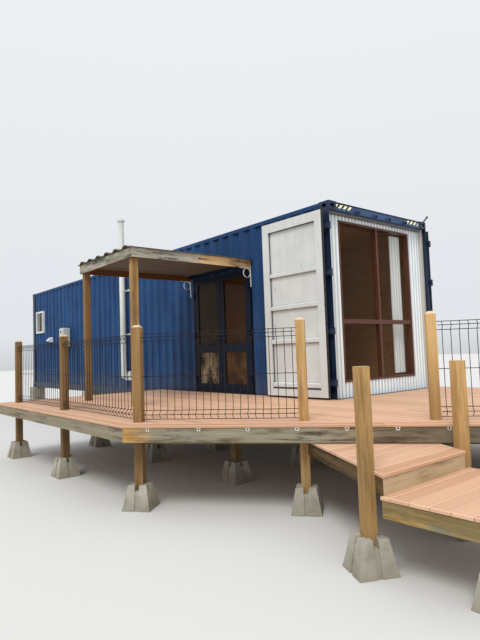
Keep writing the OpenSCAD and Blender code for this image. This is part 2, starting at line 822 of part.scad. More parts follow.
// A lever handle and its plate on the meeting stile
module lever() {
    z = lift + lock_rail_z + lock_rail + 90;
    color("#c9cbc9") {
        translate([glazed_w - 55, glazed_y - 6, z - 90]) cube([34, 6, 180]);
        translate([glazed_w - 38, glazed_y - 6, z]) rotate([90, 0, 0]) cylinder(r = 9, h = 46);
        translate([glazed_w - 150, glazed_y - 60, z - 9]) cube([121, 14, 18]);
    }
}

// Three butt hinges beside a leaf: the frame's knuckles and pins
module frame_hinges() {
    for (z = butt_z) translate([-glazed_gap / 2, butt_y, z]) {
        translate([0, 0, -butt_h - 1]) cylinder(r = butt_r, h = butt_h);
        translate([0, 0, butt_h + 1]) cylinder(r = butt_r, h = butt_h);
        for (s = [-butt_h - 1, butt_h + 1]) translate([-glazed_gap / 2 - 30, 0, s])
            cube([30 + glazed_gap / 2, -12 - butt_y, butt_h]);
        translate([0, 0, -butt_h - 1]) cylinder(r = butt_r / 2, h = 3 * butt_h + 2);
    }
}

// The leaf's knuckles on the same pins
module leaf_hinges() {
    color("#1c2a44") for (z = butt_z) translate([-glazed_gap / 2, butt_y, z]) difference() {
        union() {
            cylinder(r = butt_r, h = butt_h);
            translate([0, butt_r / 2, 0]) cube([30 + glazed_gap / 2, glazed_y - butt_y - butt_r / 2, butt_h]);
        }
        translate([0, 0, -1]) cylinder(r = butt_r / 2 + 0.3, h = butt_h + 2);
    }
}

module right_hung() {
    translate([-doorway_x - jamb - glazed_gap, 0, 0]) mirror([1, 0, 0]) children();
}

module left_hung() {
    translate([-doorway_x - doorway_w + jamb + glazed_gap, 0, 0]) children();
}

// White flue with an elbow into the wall, two straps and a rain cap
module flue() {
    y = wall_y - flue_out;
    wall = wall_y;
    foot = lift + flue_foot;
    color("#e6e6e2") {
        translate([flue_at, y, foot]) cylinder(r = flue_r, h = flue_top - flue_foot - 100);
        translate([flue_at, y, foot]) sphere(r = flue_r);
        translate([flue_at, y, foot]) rotate([-90, 0, 0]) cylinder(r = flue_r, h = flue_out - 5);
        block([flue_at - 150, wall - 5, foot - 100], [flue_at + 150, wall, foot + 100]);
        translate([flue_at, y, lift + flue_top - 100]) cylinder(r = flue_r - 8, h = 40);
        translate([flue_at, y, lift + flue_top - 60]) cylinder(r = flue_r + 22, h = 40);
        translate([flue_at, y, lift + flue_top - 20]) cylinder(r1 = flue_r + 22, r2 = 12, h = 20);
        for (s = strap_at) translate([flue_at, 0, foot + s * (flue_top - flue_foot)]) {
            block([-150, wall - 4, -20], [150, wall, 20]);
            block([-12, y, -12], [12, wall - 2, 12]);
            translate([0, y, -15]) cylinder(r = flue_r + 5, h = 30);
        }
    }
}

// Small white hood over a vent in the wall
module wall_vent() {
    wall = wall_y;
    z = lift + vent_z;
    color("#e8e8e4") translate([vent_at, 0, 0]) {
        block([-vent_w / 2, wall - 4, z], [vent_w / 2, wall, z + vent_w / 2]);
        translate([25 - vent_w / 2, wall - 4, z]) rotate([90, 0, 90]) linear_extrude(vent_w - 50)
            polygon(vent_w * [[0, 0.07], [-0.36, 0.13], [-0.36, 0.23], [-0.07, 0.46], [0, 0.46]]);
    }
}

// Awning: two posts, three beams, lining, ribbed roof and scroll brackets
aw_x1 = -awning_x;
aw_x0 = -awning_x - awning_w;
aw_y = -awning_out;
aw_z = lift + awning_z;
lining_z = awning_beam - 40;

module awning_posts() {
    y = aw_y + timber_t;
    color("#b08a50") {
        block([aw_x1 - 171, y, z_deck], [aw_x1 - 171 + post, y + post, aw_z + lining_z]);
        difference() {
            block([aw_x0, y, z_deck], [aw_x0 + post, y + post, aw_z + lining_z]);
            block([aw_x0 - 1, y - 1, aw_z], [aw_x0 + timber_t, y + post + 1, aw_z + awning_beam]);
        }
    }
}

module awning_beams() {
    color("#a39b86") {
        block([aw_x0, aw_y, aw_z], [aw_x1, aw_y + timber_t, aw_z + awning_beam]);
        block([aw_x0, aw_y, aw_z], [aw_x0 + timber_t, wall_y, aw_z + awning_beam]);
        block([aw_x1 - timber_t, aw_y, aw_z], [aw_x1, wall_y, aw_z + awning_beam]);
        block([aw_x0, wall_y - timber_t, aw_z + 40], [aw_x1, wall_y, aw_z + awning_beam]);
    }
}

module awning_lining() {
    z = aw_z + lining_z;
    color("#8d8f8c") block(
        [aw_x0 + timber_t, aw_y + timber_t, z], [aw_x1 - timber_t, wall_y - timber_t, z + 9]);
}

module awning_roof() {
    overhang = 35;
    color("#4a4d4f") translate([0, wall_y, aw_z + awning_beam]) rotate([90, 0, 0])
        linear_extrude(awning_out + wall_y + overhang)
            polygon(wave_pts(aw_x0 - overhang, aw_x1 + overhang, awning_rib, awning_rib_h, 110, 60, sheet_t));
}

// Scroll of flat bar: a back plate, an arm under the beam and a ring between them
module awning_brackets() {
    y = wall_y;
    bar = 5;
    wide = 18;
    scroll_r = bracket_l / 3;
    color("#d8d8d2") for (x = [aw_x1 - wide, aw_x0 + wide]) translate([x, y, aw_z]) {
        block([0, -bar, -bracket_h], [wide, 0, 0]);
        block([0, -bracket_l, -bar], [wide, 0, 0]);
        translate([0, -scroll_r - bar + 1, -scroll_r - bar + 1]) rotate([0, 90, 0]) difference() {
            cylinder(r = scroll_r, h = wide);
            translate([0, 0, -1]) cylinder(r = scroll_r - bar, h = wide + 2);
        }
    }
}

// Deck surface, notched for the posts
module deck_boards() {
    color("#c98a68") difference() {
        plate(deck_pts, z_deck - board_t, board_t);
        post_holes(z_deck - board_t - 1, board_t + 2);
    }
}

module deck_edge() {
    color("#8f8b70") edging(deck_pts, z_deck - board_t - fascia_h, fascia_h, nosing, timber_t);
}

// Where the deck's front and back edges lie at a place along the container
edge_in = nosing + timber_t + seat;
function front_y(x) = x < -slant_x ? -deck_out : -deck_out + (x + slant_x) * tan(slant);
function joist_start(x) = max(front_y(x - timber_t / 2), front_y(x + timber_t / 2))
    + (x < -slant_x ? edge_in : edge_in / cos(slant));
function joist_end(x) = x < deck_gap ? -deck_gap - edge_in : cont_w + deck_far - edge_in;

// Joists across the deck, cut round the posts
module deck_joists() {
    z = z_deck - board_t - joist_h;
    x0 = -deck_back_x + edge_in + joist_pitch;
    x1 = deck_end_x - edge_in - timber_t;
    color("#6f6247") difference() {
        for (x = [x0:joist_pitch:x1])
            if (x < -edge_in || x > deck_gap + edge_in + timber_t)
                block([x - timber_t / 2, joist_start(x), z], [x + timber_t / 2, joist_end(x), z + joist_h]);
        post_holes(z - 1, joist_h + 2);
    }
}

module deck_bearers() {
    z = z_deck - board_t - joist_h - bearer_h;
    behind = post / 2 + seat;
    last = fence_pts[6];
    color("#6f6247") {
        for (row = bearer_rows)
            block([row[0], row[2] - timber_t / 2, z], [row[1], row[2] + timber_t / 2, z + bearer_h]);
        block([-deck_back_x + 60, fence_pts[0][1] + behind, z],
            [fence_pts[2][0] - 75, fence_pts[0][1] + behind + timber_t, z + bearer_h]);
        translate([fence_pts[2][0], fence_pts[2][1], z]) rotate(slant)
            translate([0, behind, 0]) cube([last_s - 60 + behind, timber_t, bearer_h]);
        block([side_x - behind - timber_t, fence_pts[5][1] + 100, z],
            [side_x - behind, last[1] + behind, z + bearer_h]);
    }
}

// Footing seat that every post stands on
z_seat = block_h - block_slot_d;

// Fence posts and the taller step posts, from their footings up
module posts() {
    color("#b3874a") {
        for (k = [0:len(fence_pts) - 1])
            translate([fence_pts[k][0], fence_pts[k][1], z_seat]) rotate(fence_turn[k])
                bevelled_post(post, z_deck + fence_h - z_seat);
        for (p = tall_pts) translate([p[0], p[1], z_seat]) rotate(step_side)
            translate([-post / 2, -post / 2, 0]) cube([post, post, z_step + step_post_h - z_seat]);
    }
}

// Short posts under the bearers and under the lower step
module stumps() {
    top = z_deck - board_t - joist_h - bearer_h;
    color("#9a7b49") {
        for (p = stump_pts)
            block([p[0] - post / 2, p[1] - post / 2, z_seat], [p[0] + post / 2, p[1] + post / 2, top]);
        for (p = short_pts)
            block([p[0] - post / 2, p[1] - post / 2, z_seat],
                [p[0] + post / 2, p[1] + post / 2, z_low - board_t]);
    }
}

// Tapered concrete block with cross slots, a square socket for the post and a groove down each side
module footing() {
    side = [[-block_w / 2, 0], [block_w / 2, 0], [block_w / 2 - 10, 40], [block_top / 2, block_h],
        [-block_top / 2, block_h], [-block_w / 2 + 10, 40]];
    socket = post + 6;
    groove = [[block_top / 2 - block_groove, block_h + 1], [block_w / 2 - block_groove, 0],
        [block_w / 2 - block_groove, -1], [block_w, -1], [block_w, block_h + 1]];
    difference() {
        intersection() {
            rotate([90, 0, 0]) linear_extrude(block_w, center = true) polygon(side);
            rotate([90, 0, 90]) linear_extrude(block_w, center = true) polygon(side);
        }
        translate([-block_w / 2, -block_slot_w / 2, z_seat]) cube([block_w, block_slot_w, block_h]);
        translate([-block_slot_w / 2, -block_w / 2, z_seat]) cube([block_slot_w, block_w, block_h]);
        translate([-socket / 2, -socket / 2, z_seat]) cube([socket, socket, block_h]);
        for (turn = [0:90:270]) rotate([90, 0, turn])
            linear_extrude(block_slot_w - 12, center = true) polygon(groove);
    }
}

module footings() {
    color("#b5b3aa") {
        for (k = [0:len(fence_pts) - 1])
            translate([fence_pts[k][0], fence_pts[k][1], 0]) rotate(fence_turn[k]) footing();
        for (p = tall_pts) translate([p[0], p[1], 0]) rotate(step_side) footing();
        for (p = concat(stump_pts, short_pts)) translate([p[0], p[1], 0]) footing();
    }
}

// Wire fence between two posts: upright wires on three level wires
function square_on(a) = abs(a - 90 * round(a / 90));
function face_at(dir, k) =
    let (a = square_on(dir - fence_turn[k])) post / 2 / cos(a) + wire / 2 * tan(a) + seat;
module mesh(from, to) {
    a = fence_pts[from];
    b = fence_pts[to];
    dir = atan2(b[1] - a[1], b[0] - a[0]);
    x0 = face_at(dir, from);
    x1 = norm(b - a) - face_at(dir, to);
    n = floor((x1 - x0 - 40) / wire_pitch);
    start = (x0 + x1 - n * wire_pitch) / 2;
    levels = [mesh_low, (mesh_low + mesh_high) / 2, mesh_high];
    translate([a[0], a[1], z_deck]) rotate(dir) {
        for (k = [0:n])
            block([start + k * wire_pitch - wire / 2, -wire / 2, mesh_low],
                [start + k * wire_pitch + wire / 2, wire / 2, mesh_high]);
        for (z = levels) block([x0, -wire / 2, z - wire / 2], [x1, wire / 2, z + wire / 2]);
    }
}

module mesh_front() {
    color("#26282a") {
        mesh(0, 1);
        mesh(1, 2);
    }
}

module mesh_slant() {
    color("#26282a") mesh(2, 3);
}

module mesh_right() {
    color("#26282a") mesh(4, 5);
}

module mesh_side() {
    color("#26282a") mesh(5, 6);
}

module upper_step() {
    color("#c98a68") difference() {
        plate(step_pts, z_step - board_t, board_t);
        post_holes(z_step - board_t - 1, board_t + 2);
    }
}

module upper_step_frame() {
    z = z_step - board_t - step_timber;
    color("#a39a72") {
        edging(step_pts, z, step_timber, nosing, timber_t);
        intersection() {
            plate(inset(step_pts, nosing), z, step_timber);
            translate([step_x, -step_y + step_w / 2, z]) rotate(180 + step_side)
                translate([0, -timber_t / 2, 0])
                    cube([norm(step_pts[1] - step_pts[0]), timber_t, step_timber]);
        }
    }
}

module lower_step() {
    color("#c98a68") difference() {
        plate(low_pts, z_low - board_t, board_t);
        post_holes(z_low - board_t - 1, board_t + 2);
    }
}

module lower_step_frame() {
    z = z_low - board_t - step_timber;
    color("#a39a72") difference() {
        union() {
            edging(low_pts, z, step_timber, nosing, timber_t);
            for (s = [0, 1]) translate([low_pts[0][0] + nosing, short_pts[s][1] + (1 - 2 * s) * post / 2, z])
                mirror([0, s, 0]) cube([low_l - 2 * nosing, timber_t, step_timber]);
        }
        post_holes(z - 1, step_timber + 2);
    }
}

// Concrete piers under the castings and the middle of the container
module piers() {
    color("#a7a59c") for (x = [0, 1 / 3, 2 / 3, 1], y = [0, 1]) {
        cx = -cast_l / 2 - x * (cont_l - cast_l);
        cy = cast_w / 2 + y * (cont_w - cast_w);
        block([cx - pier_w / 2, cy - pier_w / 2, 0], [cx + pier_w / 2, cy + pier_w / 2, z_base]);
    }
}

// Rail for the curtain, on two arms from the window's head
rail_x = -infill_x - window_d + window_out - 70;
rail_z = win_hi[1] - 30;
module curtain_rail() {
    color("#3a3a3a") {
        translate([rail_x, win_lo[0] + 20, rail_z]) rotate([-90, 0, 0])
            cylinder(r = curtain_rail_r, h = window_w - 40);
        for (y = [win_lo[0] + 60, win_hi[0] - 60])
            block([rail_x, y - 6, rail_z - 6], [rail_x + 70, y + 6, rail_z + 6]);
    }
}

// Gathered curtain in soft folds, hanging from its rail
module curtain() {
    n = 12 * round(curtain_w / 70);
    y0 = win_hi[0] - window_bar - curtain_w - 40;
    face = [for (k = [0:n]) [y0 + k * curtain_w / n, curtain_d / 2 * sin(30 * k)]];
    cloth = 3;
    color("#e9e2d2") translate([rail_x, 0, win_lo[1] + 60]) rotate(90) mirror([0, 1, 0])
        linear_extrude(rail_z - curtain_rail_r - 0.3 - win_lo[1] - 60)
            polygon(concat(face, [for (k = [n:-1:0]) face[k] + [0, cloth]]));
}

// Hinge lugs on the door posts, with the pins through them
module hinge_lugs() {
    color("#1d2536") for (y = [0, 1]) translate([0, y * cont_w, 0]) mirror([0, y, 0])
        for (z = hinge_z) translate([pin[0], pin[1], lift + z]) {
            for (s = [-lug_t - 1, barrel_h + 1]) translate([0, 0, s]) {
                cylinder(r = 20, h = lug_t);
                linear_extrude(lug_t) polygon([
                    [-20, 0], [20, 0], [-pin_x + 18, pin_y], [-pin_x - rail_inset / 2, pin_y]]);
                translate([-pin_x - 50, pin_y - 12, 0]) cube([48, 12, lug_t]);
            }
            translate([0, 0, -lug_t - 6]) cylinder(r = pin_r, h = barrel_h + 2 * lug_t + 12);
        }
}

// The leaf's own frame: the pin at the origin, the closed leaf along +Y with its outer face towards +X
module near_hung() {
    translate([pin[0], pin[1], lift]) rotate(-leaf_open) children();
}

module far_hung() {
    translate([0, cont_w, 0]) mirror([0, 1, 0]) near_hung() children();
}

// Where the lock rods stand, across the whole end
function rod_places() =
    let (a = post_edge + leaf_gap + rod_at[0] * leaf_w, b = post_edge + leaf_gap + rod_at[1] * leaf_w)
    [a, b, cont_w - b, cont_w - a];

// Section through the pressed sheet of a leaf: a flat sheet with ribs that stand inwards
rib_z = [for (share = [0.05, 0.293, 0.485, 0.675]) leaf_z + share * leaf_h];
function rib_pts(z0, z1, t) =
    let (
        foot = rib_h / 6,
        edge = concat([[0, z0]], [for (z = rib_z, m = [[0, 0], [1, foot], [1, rib_h - foot], [0, rib_h]])
            [-m[0] * rib_d, z + m[1]]], [[0, z1]])
    )
    concat(edge, [for (k = [len(edge) - 1:-1:0]) edge[k] + [-t, 0]]);

// Steel leaf: a frame of flat sections round a pressed sheet, with its hinge blades
module door_leaf() {
    y0 = leaf_u + seal_w;
    y1 = leaf_u + leaf_w - seal_w;
    z0 = leaf_z + seal_w;
    z1 = leaf_z + leaf_h - seal_w;
    inner = leaf_face - leaf_t;
    color("#d4d2c8") {
        difference() {
            block([inner, y0, z0], [leaf_face, y1, z1]);
            block([inner - 1, y0 + leaf_frame, z0 + 100], [leaf_face + 1, y1 - leaf_frame, z1 - leaf_top]);
        }
        translate([leaf_face - 6, y1 - leaf_frame, 0]) rotate([90, 0, 0])
            linear_extrude(y1 - y0 - 2 * leaf_frame) polygon(rib_pts(z0 + 99, z1 - leaf_top + 1, 3));
        for (z = hinge_z) translate([0, 0, z]) difference() {
            union() {
                cylinder(r = 18, h = barrel_h);
                block([-24, 0, 0], [-12, leaf_u + 90, barrel_h]);
                block([leaf_face, y0, 0], [-12, y0 + 80, barrel_h]);
            }
            translate([0, 0, -1]) cylinder(r = pin_r + pin_play, h = barrel_h + 2);
        }
    }
}

// Rubber seal round the leaf's edges
module leaf_seal() {
    inner = leaf_face - leaf_t;
    color("#1b1b1b") difference() {
        block([inner + 8, leaf_u, leaf_z], [inner + 34, leaf_u + leaf_w, leaf_z + leaf_h]);
        block([inner, leaf_u + seal_w, leaf_z + seal_w],
            [inner + 50, leaf_u + leaf_w - seal_w, leaf_z + leaf_h - seal_w]);
    }
}

// Lock rods with guides, cams and handles on a leaf's outer face
module lock_gear() {
    rod_x = leaf_face + 38;
    rod = [for (k = [0:15]) rod_r * [cos(22.5 * k), sin(22.5 * k)]];
    guide_h = 40;
    handle_z = leaf_z + handle_at * leaf_h;
    color("#9da2a4") for (k = [0, 1]) translate([0, rod_places()[k] + pin_y, 0]) mirror([0, 1, 0]) {
        translate([rod_x, 0, leaf_z + 30]) linear_extrude(leaf_h - 14) polygon(rod);
        for (share = guide_at)
            block([leaf_face, -40, leaf_z + share * leaf_h],
                [rod_x + 11, 40, leaf_z + share * leaf_h + guide_h]);
        block([rod_x - 20, -22, leaf_z + leaf_h + 2], [rod_x + 20, 22, leaf_z + leaf_h + 20]);
        block([rod_x - 6, -13, handle_z], [rod_x + 22, handle_l, handle_z + handle_t]);
        block([leaf_face, handle_l - 40, handle_z - 10],
            [rod_x + 14, handle_l - 10, handle_z + handle_t + 10]);
    }
}

castings();
corner_posts();
bottom_rails();
cross_members();
top_rails();
door_header();
door_sill();
blind_end_rails();
wall_rear();
wall_front();
wall_over_door();
wall_far();
wall_blind_end();
roof();
floor_boards();  // floor
inner_lining();
infill();
window_frame();
window_glass();
small_window();
doorway_frame();
flue();
wall_vent();
awning_posts();
awning_beams();
awning_lining();
awning_roof();
awning_brackets();
deck_boards();
deck_edge();
deck_joists();
deck_bearers();
posts();
stumps();
footings();
mesh_front();
mesh_slant();
mesh_right();
mesh_side();
upper_step();
upper_step_frame();
lower_step();
lower_step_frame();
piers();
curtain_rail();
curtain();
hinge_lugs();
near_hung() door_leaf();  // near_leaf
near_hung() leaf_seal();  // near_seal
near_hung() lock_gear();  // near_lock_gear
far_hung() door_leaf();  // far_leaf
far_hung() leaf_seal();  // far_seal
far_hung() lock_gear();  // far_lock_gear
right_hung() { glazed_leaf(); leaf_hinges(); lever(); }  // glazed_right
right_hung() glazed_panes();  // glazed_right_panes
left_hung() { glazed_leaf(); leaf_hinges(); lever(); }  // glazed_left
left_hung() glazed_panes();  // glazed_left_panes
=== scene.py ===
import math
import random

import bpy
import bmesh
from mathutils import Matrix, Vector


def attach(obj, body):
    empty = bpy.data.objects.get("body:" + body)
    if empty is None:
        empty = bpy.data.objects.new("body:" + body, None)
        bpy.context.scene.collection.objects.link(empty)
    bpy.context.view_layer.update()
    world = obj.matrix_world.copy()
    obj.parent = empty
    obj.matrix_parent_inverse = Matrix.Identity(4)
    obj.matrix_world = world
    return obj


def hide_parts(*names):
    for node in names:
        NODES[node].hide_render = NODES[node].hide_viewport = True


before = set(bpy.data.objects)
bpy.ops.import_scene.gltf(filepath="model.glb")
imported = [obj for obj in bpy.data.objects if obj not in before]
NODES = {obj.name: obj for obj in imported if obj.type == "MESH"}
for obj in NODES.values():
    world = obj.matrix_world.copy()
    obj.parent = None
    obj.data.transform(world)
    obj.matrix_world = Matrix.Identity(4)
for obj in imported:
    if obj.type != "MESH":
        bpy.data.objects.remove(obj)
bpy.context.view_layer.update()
SCENE = bpy.context.scene

# ---------------------------------------------------------------- sizes, in metres
LIFT = 0.700                                # the container's underside over the ground
CONT_W = 2.438
WALL_Y = 0.008                              # outer face of the near wall
BOARD_T, BOARD_W, GAP = 0.023, 0.137, 0.005
TIMBER, STEP_TIMBER = 0.045, 0.120          # thickness of the edge boards, and their height on the steps
NOSING = 0.008                              # how far the decking stands out over its edge boards
DECK_Z = LIFT + 0.163
STEP_Z = LIFT - 0.010
LOW_Z = STEP_Z - BOARD_T - STEP_TIMBER
SLANT = math.radians(38.93)                 # the slanted deck edge against the front one


# ---------------------------------------------------------------- materials
def lin(rgb):
    """Linear colour of an 8 bit colour. A colour with four parts is linear already."""
    if len(rgb) == 4:
        return rgb
    parts = (c / 255.0 for c in rgb)
    return (*(c / 12.92 if c <= 0.04045 else ((c + 0.055) / 1.055) ** 2.4 for c in parts), 1.0)


def scaled(rgb, factor):
    """An 8 bit colour made darker or lighter, as a linear colour."""
    return (*(c * factor for c in lin(rgb)[:3]), 1.0)


class Mat:
    """A node material with short calls for the nodes that it is made of. Masks run from 0 to 1."""

    def __init__(self, name, rough=0.6, spec=0.5, **sockets):
        self.m = bpy.data.materials.new(name)
        self.m.use_nodes = True
        self.nt = self.m.node_tree
        self.nt.nodes.clear()
        out = self.node("OutputMaterial")
        self.sh = self.node("BsdfPrincipled")
        self.nt.links.new(self.sh.outputs[0], out.inputs[0])
        self.sh.inputs["Roughness"].default_value = rough
        self.sh.inputs["Specular IOR Level"].default_value = spec
        for key, value in sockets.items():
            self.sh.inputs[key.replace("_", " ")].default_value = value

    def put(self, socket, value):
        """Feed a socket with a constant or with another node's output."""
        if isinstance(value, bpy.types.NodeSocket):
            self.nt.links.new(value, socket)
        else:
            socket.default_value = value

    def node(self, kind, **inputs):
        n = self.nt.nodes.new("ShaderNode" + kind)
        for key, value in inputs.items():
            self.put(n.inputs[key], value)
        return n

    def coords(self, scale=(1, 1, 1), kind="Object", shift=(0, 0, 0), turn=(0, 0, 0)):
        src = self.node("TexCoord").outputs[kind]
        return self.node("Mapping", Vector=src, Scale=scale, Rotation=turn, Location=shift).outputs[0]

    def xyz(self, kind="Object"):
        """The parts of a place, or with kind Normal of the direction that a face looks in on its object."""
        return self.node("SeparateXYZ", Vector=self.node("TexCoord").outputs[kind]).outputs

    def up(self):
        """How far a face looks up: 1 on top, -1 underneath."""
        return self.node("SeparateXYZ", Vector=self.node("NewGeometry").outputs["True Normal"]).outputs[2]

    def noise(self, at, scale=1.0, detail=4.0, rough=0.55, distort=0.0):
        return self.node("TexNoise", Vector=at, Scale=scale, Detail=detail, Roughness=rough,
                         Distortion=distort).outputs["Fac"]

    def cloud(self, scale, detail=4.0, rough=0.55):
        """Noise that is the same size in every direction."""
        return self.noise(self.coords(), scale, detail, rough)

    def voronoi(self, at, scale=1.0):
        return self.node("TexVoronoi", Vector=at, Scale=scale).outputs["Distance"]

    def ramp(self, fac, *stops):
        n = self.node("ValToRGB", Fac=fac)
        elements = n.color_ramp.elements
        while len(elements) < len(stops):
            elements.new(0.5)
        for e, (pos, level) in zip(elements, stops):
            e.position = pos
            e.color = (level, level, level, 1.0)
        return n.outputs[0]

    def rise(self, fac, lo, hi):
        return self.ramp(fac, (lo, 0.0), (hi, 1.0))

    def fall(self, fac, lo, hi):
        return self.ramp(fac, (lo, 1.0), (hi, 0.0))

    def mix(self, fac, a, b):
        n = self.node("Mix")
        n.data_type = "RGBA"
        for k, value in ((0, fac), (6, a), (7, b)):
            self.put(n.inputs[k], lin(value) if isinstance(value, tuple) else value)
        return n.outputs[2]

    def lay(self, col, tone, mask, share=1.0):
        """A colour with a tone laid over it where the mask is, or a share of that tone."""
        return self.mix(mask if share == 1.0 else self.mul(mask, share), col, tone)

    def calc(self, op, a, b=0.0, clamp=False):
        n = self.node("Math")
        n.operation = op
        n.use_clamp = clamp
        self.put(n.inputs[0], a)
        self.put(n.inputs[1], b)
        return n.outputs[0]

    def mul(self, a, b, clamp=False):
        return self.calc("MULTIPLY", a, b, clamp)

    def add(self, a, b):
        return self.calc("ADD", a, b)

    def sub(self, a, b):
        return self.calc("SUBTRACT", a, b)

    def less(self, a, b):
        return self.calc("LESS_THAN", a, b)

    def more(self, a, b):
        return self.calc("GREATER_THAN", a, b)

    def away(self, a, b):
        """The distance of a from b."""
        return self.calc("ABSOLUTE", self.sub(a, b))

    def grow(self, value, start, end):
        """0 at start and before it, 1 at end and past it."""
        return self.mul(self.sub(value, start), 1 / (end - start), True)

    def recess(self, distance):
        """1 deep in corners and grooves, 0 on open faces."""
        n = self.node("AmbientOcclusion", Distance=distance)
        n.samples = 8
        return self.fall(n.outputs["AO"], 0.45, 0.85)

    def attr(self, name):
        n = self.node("Attribute")
        n.attribute_name = name
        return n.outputs["Fac"]

    def base(self):
        """What feeds the colour so far."""
        return self.sh.inputs["Base Color"].links[0].from_socket

    def bump(self, height, strength, depth):
        n = self.node("Bump", Strength=strength, Distance=depth, Height=height)
        self.put(self.sh.inputs["Normal"], n.outputs[0])

    def color(self, value):
        self.put(self.sh.inputs["Base Color"], lin(value) if isinstance(value, tuple) else value)

    def rough(self, value):
        self.put(self.sh.inputs["Roughness"], value)


def paint(name, base, dark, pale, rust=0.0, rough=0.45, scuff=0.0, streak=0.25, dirt_top=None, recess_shade=0.0,
          reach=0.05, spec=0.3):
    """Worn paint on steel: broad patches, streaks down the sheet, pale scuffs, rust specks, and painted shade
    in its corners and grooves.
    """
    m = Mat(name, rough, spec)
    broad = m.cloud(1.3, 5, 0.6)
    down = m.noise(m.coords((9, 9, 0.55)), 1.0, 5, 0.6)
    fine = m.cloud(45, 3, 0.6)
    col = m.mix(m.rise(broad, 0.35, 0.7), dark, base)
    col = m.lay(col, pale, m.rise(down, 0.45, 0.78), streak)
    col = m.lay(col, dark, m.fall(down, 0.2, 0.42), streak)
    if scuff:
        line = m.noise(m.coords((3, 3, 38), turn=(0.4, 0.3, 0)), 1.0, 6, 0.7)
        patch = m.cloud(3.1, 4, 0.6)
        col = m.lay(col, pale, m.mul(m.rise(line, 0.60, 0.68), m.rise(patch, 0.5, 0.65)), scuff)
    if rust:
        spots = m.noise(m.coords((1, 1, 0.45)), 16, 6, 0.72)
        where = m.noise(m.coords((1, 1, 0.5)), 2.2, 3, 0.6)
        col = m.lay(col, (112, 66, 38), m.mul(m.rise(spots, 0.63, 0.70), m.rise(where, 0.48, 0.66)), rust)
    if dirt_top:
        low = m.grow(m.xyz()[2], dirt_top, dirt_top - 1 / 2.2)
        col = m.lay(col, (120, 112, 98), m.mul(low, m.ramp(down, (0.3, 0.2), (0.7, 1.0))), 0.35)
    # Painted shade: the colour darkens deep in corners and grooves, where shade falls.
    if recess_shade:
        col = m.lay(col, scaled(dark, 0.35), m.recess(reach), recess_shade)
    m.color(col)
    m.rough(m.add(m.mul(fine, 0.18), rough - 0.08))
    m.bump(m.add(m.mul(broad, 1.5), fine), 0.15, 0.0015)
    return m


def timber(name, pale, mid, dark, coords=("UV", 0), rough=0.75, tone=False, knots=0.5, grain_bump=0.45,
           weather=None, spec=0.3):
    """Sawn timber: grain drawn out along the board, knots, fine cracks, and a tone for each board."""
    m = Mat(name, rough, spec)
    kind, along = coords

    def drawn(across, length):
        scale = [across] * 3
        scale[along] = length
        return m.coords(tuple(scale), kind)

    grain = m.noise(drawn(26.0, 1.15), 1.0, 6, 0.65, 0.6)
    fibre = m.noise(drawn(150.0, 3.0), 1.0, 3, 0.6)
    broad = m.noise(drawn(1.7, 1.7), 1.0, 3, 0.6)
    col = m.mix(m.rise(grain, 0.33, 0.66), mid, pale)
    col = m.lay(col, dark, m.fall(fibre, 0.30, 0.52), 0.45)
    col = m.lay(col, dark, m.fall(m.voronoi(drawn(5.5, 1.9)), 0.05, 0.13), knots)
    col = m.lay(col, weather or mid, m.rise(broad, 0.35, 0.7), 0.35)
    if tone:
        own = m.attr("tone")
        col = m.lay(col, dark, m.fall(own, 0.0, 0.5), 0.45)
        col = m.lay(col, pale, m.rise(own, 0.5, 1.0), 0.35)
    m.color(col)
    m.bump(m.add(m.mul(grain, 0.7), m.mul(fibre, 0.6)), grain_bump, 0.0018)
    return m


def weathered(name, pale, mid, dark, honey=None, where=None, black=0.6, blotch=0.5, cool_tone=(126, 126, 114),
              clean_honey=0.0):
    """Old treated board: silvery grey, black along the grain, honey yellow where it is sheltered."""
    m = timber(name, pale, mid, dark, tone=True, knots=0.35, rough=0.82)
    col = m.base()

    def patchy(along, across, detail, rough, shift=(0, 0, 0), distort=0.0):
        return m.noise(m.coords((along, across, across), "UV", shift), 1.0, detail, rough, distort)

    streak = patchy(1.6, 22, 6, 0.7, distort=0.4)
    patch = patchy(1.1, 3.0, 4, 0.6)
    cool = patchy(1.3, 5.0, 4, 0.6, (7.0, 3.0, 0))
    worn = patchy(2.6, 7.0, 5, 0.7, (3.0, 9.0, 0))
    soot = m.mul(m.rise(streak, 0.47, 0.6), m.rise(patch, 0.40, 0.55))
    if honey:
        mask = where(m) if where else m.rise(patch, 0.5, 0.62)
        col = m.lay(col, m.mix(m.rise(streak, 0.35, 0.65), honey, scaled(honey, 0.62)), mask)
        if clean_honey:
            soot = m.mul(soot, m.sub(1.0, m.mul(mask, clean_honey)))
    col = m.lay(col, cool_tone, m.rise(cool, 0.5, 0.66), blotch)
    col = m.lay(col, (46, 39, 29), soot, black)
    col = m.lay(col, (86, 70, 46), m.rise(worn, 0.53, 0.64), 0.45 * black)
    m.color(m.lay(col, pale, m.fall(worn, 0.3, 0.42), 0.5 * black))
    return m


def between(lo, hi, axis):
    """A mask that rises from 0 to 1 between two places along an axis, with a ragged border."""
    def mask(m):
        wave = m.mul(m.sub(m.cloud(9.0), 0.5), 0.25)
        return m.grow(m.add(m.xyz()[axis], wave), lo, hi)
    return mask


def drifting(name, a, b, drift, grain, rough, spec=0.5):
    """A plain surface that drifts between two colours, with a fine grain."""
    m = Mat(name, rough, spec)
    m.color(m.mix(m.rise(m.cloud(drift[0]), *drift[1:]), a, b))
    m.bump(m.cloud(*grain[:2]), *grain[2:])
    return m


# The navy parts carry painted shade in their corners and grooves.
NAVY = dict(base=(32, 50, 80), dark=(18, 29, 50), pale=(96, 110, 130), rust=0.6, rough=0.34, scuff=0.8,
            recess_shade=0.6)
BEIGE_IN, BEIGE_BACK = 0.0125, 0.190        # the posts' beige starts inside the box's side, and ends here
TROUGH = (-0.119, -0.133)                   # X where the end sheet's troughs start, and of their bottom
LEAF_NAVY, LEAF_EDGE = 0.090, 0.128         # from the box's side: a folded leaf's gear, and its navy edges


